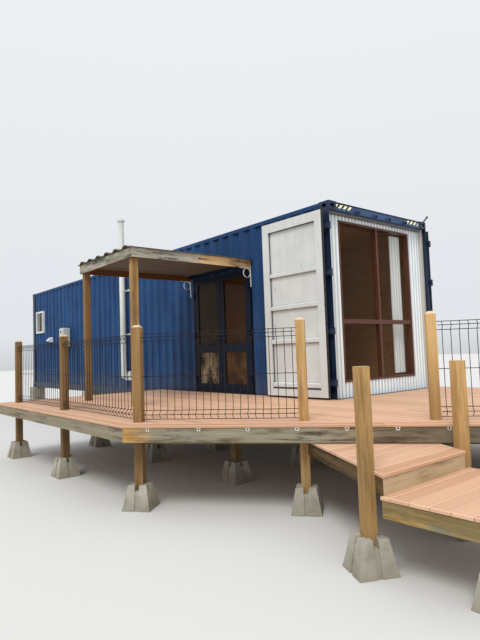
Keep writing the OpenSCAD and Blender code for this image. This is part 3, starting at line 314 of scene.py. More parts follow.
def door_post_paint():
    """Navy posts whose inner sides carry the doors' beige."""
    m = paint("door_post_paint", **NAVY)
    x, y, _ = m.xyz()
    inner = m.mul(m.less(m.away(y, CONT_W / 2), CONT_W / 2 - BEIGE_IN), m.more(x, -BEIGE_BACK))
    m.color(m.lay(m.base(), (192, 192, 184), inner))
    return m


def sheet_paint():
    """White end sheet with painted shade in its troughs and corners."""
    m = paint("white_sheet", (246, 252, 253), (232, 240, 243), (250, 253, 253), rough=0.34, streak=0.3,
              recess_shade=0.5, reach=0.03)
    # Painted shade: the troughs turn a shaded blue grey towards their bottom.
    trough_shade = m.rise(m.grow(m.xyz()[0], *TROUGH), 0.35, 1.0)
    m.color(m.lay(m.base(), (150, 168, 178), trough_shade, 0.6))
    return m


def leaf_paint(name, side):
    """A container door's paint: beige inside, which shows when it is folded back, and navy outside. The beige
    has rust spots, a painted highlight on faces that look up, painted shade on faces that look down, and
    painted shade in its corners.

    side is 1 when the folded leaf's outside looks to +Y, and -1 when it looks to -Y.
    """
    m = paint(name, (212, 215, 213), (194, 197, 195), (226, 228, 226), rust=0.7, rough=0.5, streak=0.4,
              scuff=0.2, recess_shade=0.9, reach=0.045)
    spots = m.mul(m.fall(m.voronoi(m.coords(), 5.5), 0.045, 0.075), m.rise(m.cloud(2.0), 0.45, 0.6))
    pale = m.lay(m.base(), (118, 84, 60), spots, 0.75)
    # Painted highlight on the faces that look up, and painted shade on those that look down.
    up = m.up()
    pale = m.lay(pale, (236, 238, 236), m.rise(up, 0.25, 0.4), 0.6)
    pale = m.lay(pale, (128, 128, 122), m.rise(m.mul(up, -1.0), 0.25, 0.4), 0.55)
    navy = m.mix(m.rise(m.cloud(1.7, 5), 0.35, 0.7), (24, 34, 54), (42, 58, 88))
    aside = m.away(m.xyz()[1], CONT_W / 2)
    out = m.mul(m.xyz("Normal")[1], side)
    edge = m.mul(m.more(out, -0.05), m.less(aside, CONT_W / 2 + LEAF_EDGE))
    outside = m.calc("MAXIMUM", m.more(out, 0.05), edge)
    m.color(m.mix(m.calc("MAXIMUM", outside, m.less(aside, CONT_W / 2 + LEAF_NAVY)), pale, navy))
    return m


HEADER_X, HEADER_EDGE = -0.0075, LIFT + 2.867                 # its front face, and the foot of its top edge
LIP_X, LIP_Z = -0.0655, LIFT + 2.7775                         # the lip lies behind and below these
BARS_Z, BARS_HALF, BARS_REACH = LIFT + 2.837, 0.026, 0.175    # the warning bars' middle and half sizes
BAR_PITCH, BAR_LEAN, BAR_DARK = 0.100, -1.1, 0.42             # and their spacing, slant and dark share


def header_paint():
    """Faded paint on the header: slanted warning bars near both corners, a dark top edge, and a lip in
    painted shade, grey at its front and a dark painted shadow further back.
    """
    m = paint("header_paint", (60, 90, 132), (46, 70, 106), (112, 126, 144), rust=0.5, rough=0.4, scuff=0.7,
              recess_shade=0.6, spec=0.2)
    col = m.base()
    x, y, z = m.xyz()
    wear = m.rise(m.cloud(60, 4, 0.7), 0.34, 0.42)
    face = m.mul(m.mul(m.less(m.away(z, BARS_Z), BARS_HALF), m.more(x, HEADER_X)), wear)
    run = m.mul(m.add(y, m.mul(z, BAR_LEAN)), 1 / BAR_PITCH)
    for middle, phase in ((0.330, 0.0), (2.045, 0.372)):
        here = m.mul(m.less(m.away(y, middle), BARS_REACH), face)
        bars = m.more(m.calc("FRACT", m.add(run, phase)), BAR_DARK)
        col = m.lay(col, m.mix(bars, (4, 4, 3), (254, 254, 206)), here)
    col = m.lay(col, (6, 8, 14), m.more(z, HEADER_EDGE), 0.95)
    # Painted shade on the beige lip: grey at its front, turning to a dark painted shadow further back under
    # the header.
    shaded_lip = m.mul(m.less(z, LIP_Z), m.less(x, LIP_X))
    m.color(m.lay(col, m.mix(m.grow(x, -0.080, -0.110), (112, 116, 120), (46, 42, 38)), shaded_lip))
    return m


def post_timber():
    """Each post has its own tone and stains. They are darker to the left, partly from weathering and partly
    as painted shade of the trees and the awning, darker at the foot, lighter higher up on the side posts as
    painted sunlight, and pale on their tops.
    """
    m = timber("post_timber", (208, 168, 114), (174, 132, 76), (98, 66, 32), ("Object", 2), knots=0.7,
               grain_bump=0.6, weather=(146, 116, 72))
    x, y, z = m.xyz()
    own = m.noise(m.coords((0.83, 0.83, 0.12), shift=(2.6, 0.4, 0)), 1.0, 2)
    stain = m.noise(m.coords((7, 7, 1.1)), 1.0, 5, 0.65)
    # Painted shade of the trees and the awning, with weathering: darker to the left along the front fence,
    # and at the far left where the left awning post stands.
    front = m.mul(m.grow(x, 1.3, -2.1), m.less(y, -2.5))
    low = m.grow(z, LIFT + 0.75, LIFT - 0.45)
    # Painted sunlight: the side posts turn lighter higher up.
    right = m.mul(m.grow(y, -1.9, -1.5), m.grow(z, LIFT + 0.35, LIFT + 0.95))
    col = m.base()
    # Laid in turn: own tone, stains, the left side's weathering and painted shade, the darker foot, the
    # painted sunlight on the side posts, and the pale tops.
    for tone, mask, share in (((112, 90, 54), m.rise(own, 0.45, 0.62), 0.35),
                              ((92, 72, 44), m.rise(stain, 0.52, 0.66), 0.5),
                              ((70, 52, 30), m.calc("MAXIMUM", front, m.grow(x, -2.4, -3.2)), 0.64),
                              ((86, 64, 36), low, 0.25), ((244, 206, 142), right, 0.4),
                              ((226, 208, 176), m.rise(m.up(), 0.2, 0.4), 0.7)):
        col = m.lay(col, tone, mask, share)
    m.color(col)
    return m


def deck_timber(*args, **options):
    """Composite decking, with a painted highlight where its eased edges catch the light."""
    m = timber(*args, tone=True, knots=0.0, rough=0.68, **options)
    # Painted highlight: faces that slope up at the eased edges turn pale.
    eased_edge_highlight = m.ramp(m.up(), (0.45, 0.0), (0.55, 1.0), (0.93, 1.0), (0.98, 0.0))
    m.color(m.lay(m.base(), (252, 224, 198), eased_edge_highlight, 0.55))
    return m


def fascia_timber():
    """The slanted edge: honey yellow at its left end, and darker towards its right end."""
    m = weathered("deck_fascia", (160, 152, 132), (130, 119, 94), (80, 68, 48), honey=(200, 154, 92),
                  where=between(0.13, -0.02, 0), black=0.85, clean_honey=0.75)
    m.color(m.lay(m.base(), (84, 70, 50), between(1.62, 1.80, 0)(m), 0.5))
    return m


def concrete():
    """Cast concrete with pits and grit, damp near the ground."""
    m = Mat("concrete", 0.9, 0.25)
    patch = m.cloud(5, 6, 0.65)
    grit = m.cloud(130, 4, 0.7)
    pits = m.voronoi(m.coords(), 60)
    col = m.mix(m.rise(patch, 0.35, 0.68), (142, 138, 124), (184, 180, 166))
    col = m.lay(col, (92, 88, 74), m.fall(grit, 0.3, 0.48), 0.4)
    damp = m.mul(m.grow(m.xyz()[2], 0.16, 0.16 - 1 / 7), m.ramp(patch, (0.3, 0.3), (0.7, 1.0)))
    m.color(m.lay(col, (104, 92, 66), damp, 0.45))
    m.bump(m.add(m.mul(grit, 0.6), m.rise(pits, 0.08, 0.2)), 0.55, 0.003)
    return m


def lining_board():
    """Dark varnished strips with a fine grain, darker in part as painted shade under the awning."""
    m = Mat("awning_lining", 0.6, 0.25)
    col = m.mix(m.noise(m.coords((14, 1.2, 14)), 1.0, 6, 0.65), (80, 70, 56), (116, 105, 88))
    m.color(m.lay(col, (128, 118, 100), m.attr("tone"), 0.35))
    m.bump(m.noise(m.coords((120, 4, 120)), 1.0, 3), 0.25, 0.001)
    return m


def curtain_cloth():
    """Thin white cloth that glows a little as painted daylight through it, with painted shade at the back of
    its folds.
    """
    # The emission is painted light: the cloth glows though it is no lamp.
    m = Mat("curtain_cloth", 0.95, 0.1, Emission_Color=lin((226, 236, 236)), Emission_Strength=0.14)
    fade = m.noise(m.coords((3, 3, 0.6)), 1.0, 4)
    col = m.mix(m.rise(fade, 0.35, 0.7), (238, 242, 240), (250, 252, 251))
    # Painted shade: the cloth turns grey where its folds go back into the room.
    m.color(m.lay(col, (138, 137, 128), m.grow(m.xyz()[0], -0.2536, -0.3), 0.95))
    m.bump(m.cloud(900, 2), 0.2, 0.0006)
    return m


def glass(name, tint, alpha, spec=0.3, blind=None):
    """Reflecting pane with faint ripple and smears. A pale blind can stand behind its lower part."""
    m = Mat(name, 0.04, spec, Alpha=alpha)
    smear = m.cloud(2.5, 5, 0.6)
    col = m.mix(m.rise(smear, 0.35, 0.7), tint, scaled(tint, 1.5))
    if blind:
        col = m.lay(col, m.mix(m.rise(smear, 0.4, 0.6), blind, tint), m.less(m.xyz()[2], LIFT + 0.9))
    m.color(col)
    m.rough(m.ramp(smear, (0.35, 0.03), (0.75, 0.12)))
    m.bump(m.cloud(1.6, 2), 0.06, 0.02)
    return m


M = {
    # The blue walls carry painted shade in their corners and grooves, and dust towards their foot.
    "blue": paint("blue_paint", (30, 70, 116), (20, 52, 92), (84, 116, 154), rust=0.5, rough=0.5, streak=0.2,
                  scuff=0.3, dirt_top=LIFT + 0.61, recess_shade=0.55, reach=0.07, spec=0.15),
    "navy": paint("navy_paint", **NAVY),
    "door_posts": door_post_paint(),
    "header": header_paint(),
    "near_leaf": leaf_paint("near_leaf_paint", 1),
    "far_leaf": leaf_paint("far_leaf_paint", -1),
    "white": sheet_paint(),
    "under": paint("underseal", (46, 46, 46), (30, 30, 30), (80, 76, 70), rust=0.6, rough=0.7),
    "flue": paint("white_flue", (224, 227, 222), (196, 199, 192), (232, 234, 230), rough=0.4, streak=0.3),
    "heater": paint("heater_paint", (196, 200, 198), (172, 176, 172), (212, 214, 212), rough=0.5, streak=0.3),
    "roofing": paint("roof_sheet", (116, 112, 96), (84, 80, 68), (150, 147, 132), rust=0.6, rough=0.5,
                     streak=0.4),
    "wire": drifting("black_wire", (14, 12, 11), (44, 32, 24), (30, 0.4, 0.75),
                     (400, 2, 0.1, 0.0005), 0.5, 0.2),
    "rubber": drifting("seal_rubber", (24, 24, 24), (58, 56, 52), (20, 0.4, 0.7),
                       (200, 3, 0.2, 0.0008), 0.75),
    "scroll": drifting("bracket_paint", (226, 227, 222), (150, 130, 108), (40, 0.55, 0.7),
                       (160, 2, 0.1, 0.0006), 0.45),
    "concrete": concrete(),
    "lining": lining_board(),
    "cloth": curtain_cloth(),
    "pane": glass("pane", (60, 46, 30), 0.12),
    # The glazed doors' panes are nearly opaque and dark brown, as painted shade of the dim room behind them,
    # paler low down where a blind stands.
    "pane_right": glass("pane_right", (58, 36, 18), 0.9, 0.06, (92, 68, 42)),
    "pane_left": glass("pane_left", (50, 38, 22), 0.9, 0.06, (164, 144, 114)),
    "post": post_timber(),
    "window": timber("window_timber", (102, 62, 45), (82, 48, 34), (44, 25, 18), ("Object", 2), rough=0.36,
                     knots=0.15, grain_bump=0.2),
    # Navy door paint, made darker still as painted shade under the awning.
    "doors": timber("door_timber", (17, 27, 46), (13, 21, 37), (7, 11, 18), ("Object", 2), rough=0.5,
                    knots=0.1, grain_bump=0.2, spec=0.12),
    "hidden": timber("hidden_timber", (138, 116, 78), (112, 92, 60), (62, 50, 32), ("Object", 0)),
    "plywood": timber("plywood", (190, 146, 96), (168, 124, 78), (112, 78, 46), ("Object", 0)),
    "deck": deck_timber("deck_board", (224, 181, 149), (214, 170, 138), (186, 142, 112), grain_bump=0.2,
                        weather=(216, 176, 148)),
    "deck_edge": deck_timber("deck_edge_board", (216, 172, 140), (200, 154, 122), (146, 100, 74),
                             grain_bump=0.3),
    "fascia": fascia_timber(),
    "fascia_front": weathered("deck_fascia_front", (156, 146, 124), (128, 116, 90), (78, 64, 44)),
    "step_front": weathered("step_front_board", (206, 186, 154), (182, 158, 122), (108, 86, 56), black=0.4,
                            blotch=0.1),
    "step_side": weathered("step_side_board", (118, 92, 58), (88, 66, 38), (44, 31, 20), black=0.85,
                           blotch=0.2),
    "low_front": weathered("low_step_board", (168, 148, 102), (140, 120, 76), (86, 70, 42),
                           honey=(208, 160, 80), black=0.4, blotch=0.9, cool_tone=(112, 124, 112)),
    "awning_front": weathered("awning_front_beam", (190, 187, 172), (146, 139, 119), (80, 70, 52), black=0.9),
    "awning_side": weathered("awning_side_beam", (228, 224, 212), (180, 174, 158), (92, 82, 64),
                             honey=(232, 192, 138), where=between(-1.12, -0.92, 1), black=0.95, blotch=0.3,
                             cool_tone=(150, 150, 140)),
    # The beams' inner faces: sheltered brown timber, darker still as painted shade under the awning roof.
    "awning_inner": timber("awning_inner_beam", (118, 76, 40), (92, 56, 28), (48, 29, 15), tone=True,
                           knots=0.3),
}

CAD_LOOKS = {
    "blue": "top_rails wall_rear wall_front wall_over_door wall_far wall_blind_end roof",
    "navy": "castings bottom_rails door_sill blind_end_rails hinge_lugs near_lock_gear far_lock_gear",
    "door_posts": "corner_posts", "header": "door_header", "near_leaf": "near_leaf", "far_leaf": "far_leaf",
    "rubber": "near_seal far_seal", "under": "cross_members curtain_rail", "white": "infill",
    "flue": "flue wall_vent small_window", "plywood": "floor inner_lining", "window": "window_frame",
    "pane": "window_glass", "doors": "doorway_frame glazed_right glazed_left",
    "pane_right": "glazed_right_panes", "pane_left": "glazed_left_panes", "post": "posts awning_posts",
    "roofing": "awning_roof", "scroll": "awning_brackets", "hidden": "deck_joists deck_bearers stumps",
    "concrete": "footings piers",
}
for look, nodes in CAD_LOOKS.items():
    for node in nodes.split():
        data = NODES[node].data
        data.materials.clear()
        data.materials.append(M[look].m)


# ---------------------------------------------------------------- board making
SAME = 1e-4                                 # points closer than this are one
SLIVER = 4e-4                               # a board with less area than this isn't made
FACE_SHIFT = 0.37                           # sets the grain of a board's opposite faces apart


def on_line(a, b, t):
    """The point at a share t of the way from a to b."""
    return (a[0] + t * (b[0] - a[0]), a[1] + t * (b[1] - a[1]))


def clip(poly, point, normal):
    """The part of a convex outline on the side of a line that normal points to."""
    out = []
    for k, a in enumerate(poly):
        b = poly[(k + 1) % len(poly)]
        da, db = ((p[0] - point[0]) * normal[0] + (p[1] - point[1]) * normal[1] for p in (a, b))
        if da >= 0:
            out.append(a)
        if da * db < 0:
            out.append(on_line(a, b, da / (da - db)))
    return out


def area(poly):
    return 0.5 * sum(a[0] * b[1] - b[0] * a[1] for a, b in zip(poly, poly[1:] + poly[:1]))


def shrink(poly, d):
    """A convex outline, anticlockwise, drawn smaller by d on every side."""
    out = list(poly)
    for k, a in enumerate(poly):
        b = poly[(k + 1) % len(poly)]
        length = math.dist(a, b)
        if length < 1e-6:
            continue
        n = (-(b[1] - a[1]) / length, (b[0] - a[0]) / length)
        out = clip(out, (a[0] + n[0] * d, a[1] + n[1] * d), n)
        if len(out) < 3:
            return []
    return out


def clean(poly):
    """The outline without points that repeat the one before."""
    out = []
    for p in poly:
        if not out or math.dist(p, out[-1]) > SAME:
            out.append(p)
    if len(out) > 1 and math.dist(out[0], out[-1]) <= SAME:
        out.pop()
    return out


def mesh_object(name, bm, mats, smooth=False):
    bmesh.ops.recalc_face_normals(bm, faces=bm.faces[:])
    mesh = bpy.data.meshes.new(name)
    bm.to_mesh(mesh)
    bm.free()
    for m in mats:
        mesh.materials.append(M[m].m)
    if smooth:
        for f in mesh.polygons:
            f.use_smooth = True
    ob = bpy.data.objects.new(name, mesh)
    SCENE.collection.objects.link(ob)
    return ob


class Boards:
    """Collects boards into one mesh, each with its own grain offset and tone."""

    def __init__(self, name, mats, seed):
        self.name = name
        self.bm = bmesh.new()
        self.uv = self.bm.loops.layers.uv.new("grain")
        self.tone = self.bm.verts.layers.float.new("tone")
        self.mats = mats
        self.rng = random.Random(seed)

    def _finish(self, faces, verts, along, mat, inner=None, toward=None):
        """Grain, tone and material of a board. Faces that look down or toward a point take the inner one."""
        off = (self.rng.uniform(0, 40), self.rng.uniform(0, 40))
        tone = self.rng.random()
        for v in verts:
            v[self.tone] = tone
        for f in faces:
            f.normal_update()
            n = f.normal
            f.material_index = mat
            if inner is not None and (n.z < -0.5 or n.dot(Vector(toward) - f.calc_center_median()) > 0.3):
                f.material_index = inner
            side = n.cross(along)
            if side.length < 0.2:
                side = Vector((0, 0, 1)).cross(along)
            side.normalize()
            for loop in f.loops:
                p = loop.vert.co
                loop[self.uv].uv = (p.dot(along) + off[0], p.dot(side) + off[1] + FACE_SHIFT * p.dot(n))

    def plank(self, poly, top, thick, angle, ease=0.0025, mat=0, inner=None, toward=None):
        """A flat board with a convex outline, its top edges eased, its grain at an angle to +X."""
        poly = clean(poly)
        if len(poly) < 3 or abs(area(poly)) < SLIVER:
            return
        if area(poly) < 0:
            poly = poly[::-1]
        eased = clean(shrink(poly, ease))
        rows = [(poly, top - thick), (poly, top - ease)]
        if len(eased) == len(poly):
            rows.append((eased, top))
        rings = [[self.bm.verts.new((x, y, z)) for x, y in r] for r, z in rows]
        faces = [self.bm.faces.new(rings[0][::-1]), self.bm.faces.new(rings[-1])]
        for lo, hi in zip(rings, rings[1:]):
            for k in range(len(lo)):
                j = (k + 1) % len(lo)
                faces.append(self.bm.faces.new((lo[k], lo[j], hi[j], hi[k])))
        self._finish(faces, [v for r in rings for v in r], Vector((math.cos(angle), math.sin(angle), 0)), mat,
                     inner, toward)

    def beam(self, a, b, wide, high, mat=0, ease=0.004):
        """A level timber from a to b, its section centred on that line, its long edges eased."""
        a, b = Vector(a), Vector(b)
        along = (b - a).normalized()
        side = along.cross(Vector((0, 0, 1))).normalized()
        up = side.cross(along).normalized()
        w, h, e = wide / 2, high / 2, ease
        section = [(-w + e, -h), (w - e, -h), (w, -h + e), (w, h - e),
                   (w - e, h), (-w + e, h), (-w, h - e), (-w, -h + e)]
        start, end = ([self.bm.verts.new(p + side * s + up * t) for s, t in section] for p in (a, b))
        faces = [self.bm.faces.new(start), self.bm.faces.new(end[::-1])]
        for k in range(8):
            j = (k + 1) % 8
            faces.append(self.bm.faces.new((start[j], start[k], end[k], end[j])))
        self._finish(faces, start + end, along, mat)

    def done(self, body, *replaced, slot):
        ob = mesh_object(self.name, self.bm, self.mats)
        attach(ob, body)
        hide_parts(*replaced)


# ---------------------------------------------------------------- deck
BACK_X, FRONT_Y, END_X, FAR_Y = -4.470, -3.119, 3.640, CONT_W + 0.160
SLANT_X = -0.094                            # where the slanted edge starts
SLANT_END_Y = FRONT_Y + (END_X - SLANT_X) * math.tan(SLANT)
COS, SIN = math.cos(SLANT), math.sin(SLANT)
SLANT_DIR, SLANT_OUT = Vector((COS, SIN)), Vector((SIN, -COS))
DECK_GAP = 0.012                            # between the decking and the container
PITCH = BOARD_W + GAP
ROWS_IN_FRONT = 24                          # rows of boards from the container's side to the front
JOINTS, JOINT_STEP, SHORTEST = (-2.6, 1.35), 0.9, 0.6
JOINT_GAP = 0.002                           # taken off each board's end
BORDER_JOINT = 0.52                         # of the two boards along the slanted edge, as a share of it
EDGE_H = 0.140
BUTT_GAP = 0.0006                           # the gap at an edge board's joint, as a share of its side
ACROSS = math.pi / 2


def on_slant(s, out):
    """The point at a length s along the slanted edge, moved out of the deck by out."""
    return Vector((SLANT_X, FRONT_Y)) + SLANT_DIR * s + SLANT_OUT * out


def deck_strip(y0, y1, x0, x1, border):
    """A strip of decking between two lines, cut back from the deck's edges by a border."""
    poly = [(x0, y0), (x1, y0), (x1, y1), (x0, y1)]
    for point, normal in (((BACK_X + border, 0), (1, 0)), ((END_X - border, 0), (-1, 0)),
                          ((0, FRONT_Y + border), (0, 1)), ((0, FAR_Y - border), (0, -1))):
        poly = clip(poly, point, normal)
    slant_in = (-SIN, COS)
    point = (SLANT_X + slant_in[0] * border, FRONT_Y + slant_in[1] * border)
    return clip(poly, point, slant_in) if len(poly) > 2 else []


deck = Boards("deck_planks", ["deck", "deck_edge"], seed=11)
y = -DECK_GAP - PITCH * ROWS_IN_FRONT
rows = []
while y < FAR_Y:
    rows.append(y)
    y += PITCH
for k, y0 in enumerate(rows):
    y1 = min(y0 + BOARD_W, FAR_Y)
    y0 = max(y0, FRONT_Y)
    left = BACK_X if y1 <= -DECK_GAP + 0.001 else DECK_GAP
    joints = [JOINTS[0] + (k % 3) * JOINT_STEP, JOINTS[1] + (k % 2) * JOINT_STEP]
    marks = [left] + [x for x in joints if x > left + SHORTEST] + [END_X]
    for a, b in zip(marks, marks[1:]):
        deck.plank(deck_strip(y0, y1, a + JOINT_GAP, b - JOINT_GAP, PITCH), DECK_Z, BOARD_T, 0.0)

# The border's boards, mitred where the deck's edges turn. Two of them lie along the slanted edge.
miter = BOARD_W * math.tan(SLANT / 2)
end_miter = BOARD_W * math.tan((math.pi / 2 - SLANT) / 2)
border = [([(BACK_X, FRONT_Y), (SLANT_X, FRONT_Y), (SLANT_X - miter, FRONT_Y + BOARD_W),
            (BACK_X + BOARD_W, FRONT_Y + BOARD_W)], 0.0),
          ([(BACK_X, FRONT_Y), (BACK_X + BOARD_W, FRONT_Y + BOARD_W), (BACK_X + BOARD_W, -DECK_GAP),
            (BACK_X, -DECK_GAP)], ACROSS)]
run = (END_X - SLANT_X) / COS
middle = run * BORDER_JOINT
for a, b, a_in, b_in in ((0.0, middle, miter, -0.001), (middle, run, 0.001, -end_miter)):
    border.append(([on_slant(a, 0), on_slant(b, 0), on_slant(b + b_in, -BOARD_W),
                    on_slant(a + a_in, -BOARD_W)], SLANT))
border += [([(END_X, SLANT_END_Y), (END_X, FAR_Y), (END_X - BOARD_W, FAR_Y - BOARD_W),
             (END_X - BOARD_W, SLANT_END_Y + end_miter)], ACROSS),
           ([(END_X, FAR_Y), (DECK_GAP, FAR_Y), (DECK_GAP, FAR_Y - BOARD_W),
             (END_X - BOARD_W, FAR_Y - BOARD_W)], 0.0)]
for outline, turn in border:
    deck.plank(outline, DECK_Z, BOARD_T, turn, mat=1)
deck.done("root", "deck_boards", slot="deck_composite")


def moved_in(poly, d):
    """The outline's corners after each side has moved inwards by d."""
    out = []
    for k, p in enumerate(poly):
        before, here, after = (Vector(q) for q in (poly[k - 1], p, poly[(k + 1) % len(poly)]))
        u, v = (here - before).normalized(), (after - here).normalized()
        nu, nv = Vector((-u.y, u.x)), Vector((-v.y, v.x))
        t = d / max(0.1, 1.0 + nu.dot(nv))
        out.append((p[0] + t * (nu.x + nv.x), p[1] + t * (nu.y + nv.y)))
    return out


def ring_of_boards(boards, poly, top, high, mats, inner=None, joints=()):
    """Boards on edge round an outline, mitred at its corners, with butt joints at shares of a side."""
    outer, inside = moved_in(poly, NOSING), moved_in(poly, NOSING + TIMBER)
    centre = (sum(p[0] for p in poly) / len(poly), sum(p[1] for p in poly) / len(poly), top)
    for k, a in enumerate(outer):
        b = outer[(k + 1) % len(outer)]
        c, d = inside[(k + 1) % len(outer)], inside[k]
        turn = math.atan2(b[1] - a[1], b[0] - a[0])
        cuts = [0.0] + [t for side, t in joints if side == k] + [1.0]
        for lo, hi in zip(cuts, cuts[1:]):
            lo, hi = lo + (BUTT_GAP if lo else 0.0), hi - (BUTT_GAP if hi < 1 else 0.0)
            quad = [on_line(a, b, lo), on_line(a, b, hi), on_line(d, c, hi), on_line(d, c, lo)]
            boards.plank(quad, top, high, turn, 0.003, mats[k % len(mats)], inner, centre)


deck_line = [(BACK_X, FRONT_Y), (SLANT_X, FRONT_Y), (END_X, SLANT_END_Y), (END_X, FAR_Y), (DECK_GAP, FAR_Y),
             (DECK_GAP, -DECK_GAP), (BACK_X, -DECK_GAP)]
edge = Boards("deck_fascia_boards", ["fascia_front", "fascia"], seed=5)
ring_of_boards(edge, deck_line, DECK_Z - BOARD_T, EDGE_H, [0, 1, 0, 0, 0, 0, 0],
               joints=[(0, 0.52), (1, 0.78), (3, 0.5), (6, 0.5)])
edge.done("root", "deck_edge", slot="weathered_timber")


# ---------------------------------------------------------------- steps
STEP_X, STEP_Y, STEP_W, STEP_SIDE = 2.500, -2.532, 1.117, math.radians(27.7)
STEP_IN = 0.245                             # how far the upper step goes on behind the slanted edge
STEP_BEARER = (0.060, 0.99)                 # its middle bearer's ends, from its front
BEARER_IN = 0.2375                          # the lower step's bearers, from its sides
side_run = Vector((-math.cos(STEP_SIDE), math.sin(STEP_SIDE)))


def back_point(x, y):
    """Where a side of the upper step ends, behind the slanted edge."""
    out = (Vector((x, y)) - Vector((SLANT_X, FRONT_Y))).dot(SLANT_OUT) + STEP_IN
    return tuple(Vector((x, y)) - side_run * (out / side_run.dot(SLANT_OUT)))


STEP_LINE = [back_point(STEP_X, STEP_Y), (STEP_X, STEP_Y), (STEP_X, STEP_Y + STEP_W),
             back_point(STEP_X, STEP_Y + STEP_W)]
LOW_X, LOW_Y, LOW_Y1 = STEP_X - 0.020, STEP_Y - 0.010, STEP_Y + STEP_W + 0.062
LOW_X1 = LOW_X + 0.925
LOW_LINE = [(LOW_X, LOW_Y), (LOW_X1, LOW_Y), (LOW_X1, LOW_Y1), (LOW_X, LOW_Y1)]


def tread(name, poly, top, node, seed):
    """Step boards that run along the step's front edge."""
    boards = Boards(name, ["deck", "deck_edge"], seed)
    front = max(p[0] for p in poly)
    x = front
    while x > min(p[0] for p in poly) + 0.01:
        strip = clip(poly, (x, 0), (-1, 0))
        strip = clip(strip, (x - BOARD_W, 0), (1, 0)) if len(strip) > 2 else []
        boards.plank(strip, top, BOARD_T, ACROSS, mat=1 if x == front else 0)
        x -= PITCH
    boards.done("root", node, slot="deck_composite")


tread("upper_step_planks", STEP_LINE, STEP_Z, "upper_step", 21)
tread("lower_step_planks", LOW_LINE, LOW_Z, "lower_step", 22)

frame_boards = Boards("upper_step_timbers", ["step_side", "step_front", "hidden"], seed=6)
z = STEP_Z - BOARD_T
ring_of_boards(frame_boards, STEP_LINE, z, STEP_TIMBER, [0, 1, 0, 0], inner=2)
mid = Vector((STEP_X, STEP_Y + STEP_W / 2, z - STEP_TIMBER / 2))
a, b = (mid + Vector((*side_run, 0)) * run for run in STEP_BEARER)
frame_boards.beam(a, b, TIMBER, STEP_TIMBER, mat=2)
frame_boards.done("root", "upper_step_frame", slot="weathered_timber")

frame_boards = Boards("lower_step_timbers", ["low_front", "hidden"], seed=9)
z = LOW_Z - BOARD_T
ring_of_boards(frame_boards, LOW_LINE, z, STEP_TIMBER, [0], inner=1)
inset = NOSING + TIMBER + 0.001
for y in (LOW_Y + BEARER_IN, LOW_Y1 - BEARER_IN):
    a, b = ((x, y, z - STEP_TIMBER / 2) for x in (LOW_X + inset, LOW_X1 - inset))
    frame_boards.beam(a, b, TIMBER, STEP_TIMBER, mat=1)
frame_boards.done("root", "lower_step_frame", slot="weathered_timber")


# ---------------------------------------------------------------- awning beams
AW_X0, AW_X1, AW_Y, AW_Z, AW_H = -3.432, -1.682, -2.120, LIFT + 2.190, 0.135
AW_JOINT = -1.020                           # where the right beam's two lengths meet
LEDGER_UP = 0.040                           # how much higher the wall board's foot is than the beams'
AW_TOP, AW_IN = AW_Z + AW_H, AW_Y + TIMBER
awning = Boards("awning_boards", ["awning_front", "awning_side", "awning_inner", "doors"], seed=14)
mid_point = ((AW_X0 + AW_X1) / 2, AW_Y / 2, AW_Z + AW_H / 2)
left, right = AW_X0 + TIMBER, AW_X1 - TIMBER
for quad, turn, mat in (
        ([(AW_X0, AW_Y), (AW_X1, AW_Y), (right, AW_IN), (left, AW_IN)], 0.0, 0),
        ([(AW_X1, AW_Y), (AW_X1, AW_JOINT), (right, AW_JOINT), (right, AW_IN)], ACROSS, 1),
        ([(AW_X1, AW_JOINT + 0.001), (AW_X1, WALL_Y), (right, WALL_Y), (right, AW_JOINT + 0.001)], ACROSS, 1),
        ([(AW_X0, WALL_Y), (AW_X0, AW_Y), (left, AW_IN), (left, WALL_Y)], ACROSS, 0)):
    awning.plank(quad, AW_TOP, AW_H, turn, 0.003, mat, 2, mid_point)
awning.plank([(left, WALL_Y - TIMBER), (right, WALL_Y - TIMBER), (right, WALL_Y), (left, WALL_Y)],
             AW_TOP, AW_H - LEDGER_UP, 0.0, 0.003, 3)
awning.done("root", "awning_beams", slot="weathered_timber")

LINING_N, LINING_GAP, LINING_DROP, LINING_T = 21, 0.003, 0.031, 0.009
lining = Boards("awning_lining_strips", ["lining"], seed=17)
step = (AW_X1 - AW_X0 - 2 * TIMBER + LINING_GAP) / LINING_N
for k in range(LINING_N):
    x0 = left + k * step
    x1 = x0 + step - LINING_GAP
    lining.plank([(x0, AW_IN), (x1, AW_IN), (x1, WALL_Y - TIMBER), (x0, WALL_Y - TIMBER)],
                 AW_TOP - LINING_DROP, LINING_T, ACROSS, 0.001)
lining.done("root", "awning_lining", slot="lining")


# ---------------------------------------------------------------- wire fence
def circle(sides):
    """The angles of a ring's points."""
    return [2 * math.pi * j / sides for j in range(sides)]


def skin(bm, lo, hi, look=0):
    """The faces between two rings."""
    for j in range(len(lo)):
        i = (j + 1) % len(lo)
        bm.faces.new((lo[j], lo[i], hi[i], hi[j])).material_index = look


def tube(bm, points, radius, across, sides=6):
    """A round wire along points that lie in one plane; across is that plane's normal."""
    points = [Vector(p) for p in points]
    across = Vector(across).normalized()
    rings = []
    for k, p in enumerate(points):
        a = (p - points[k - 1]).normalized() if k else None
        b = (points[k + 1] - p).normalized() if k < len(points) - 1 else None
        run = ((a or b) + (b or a)).normalized()
        side = run.cross(across).normalized()
        wide = radius / max(0.5, run.dot(a or b))
        rings.append([bm.verts.new(p + across * radius * math.cos(t) + side * wide * math.sin(t))
                      for t in circle(sides)])
    for lo, hi in zip(rings, rings[1:]):
        skin(bm, lo, hi)
    bm.faces.new(rings[0][::-1])
    bm.faces.new(rings[-1])


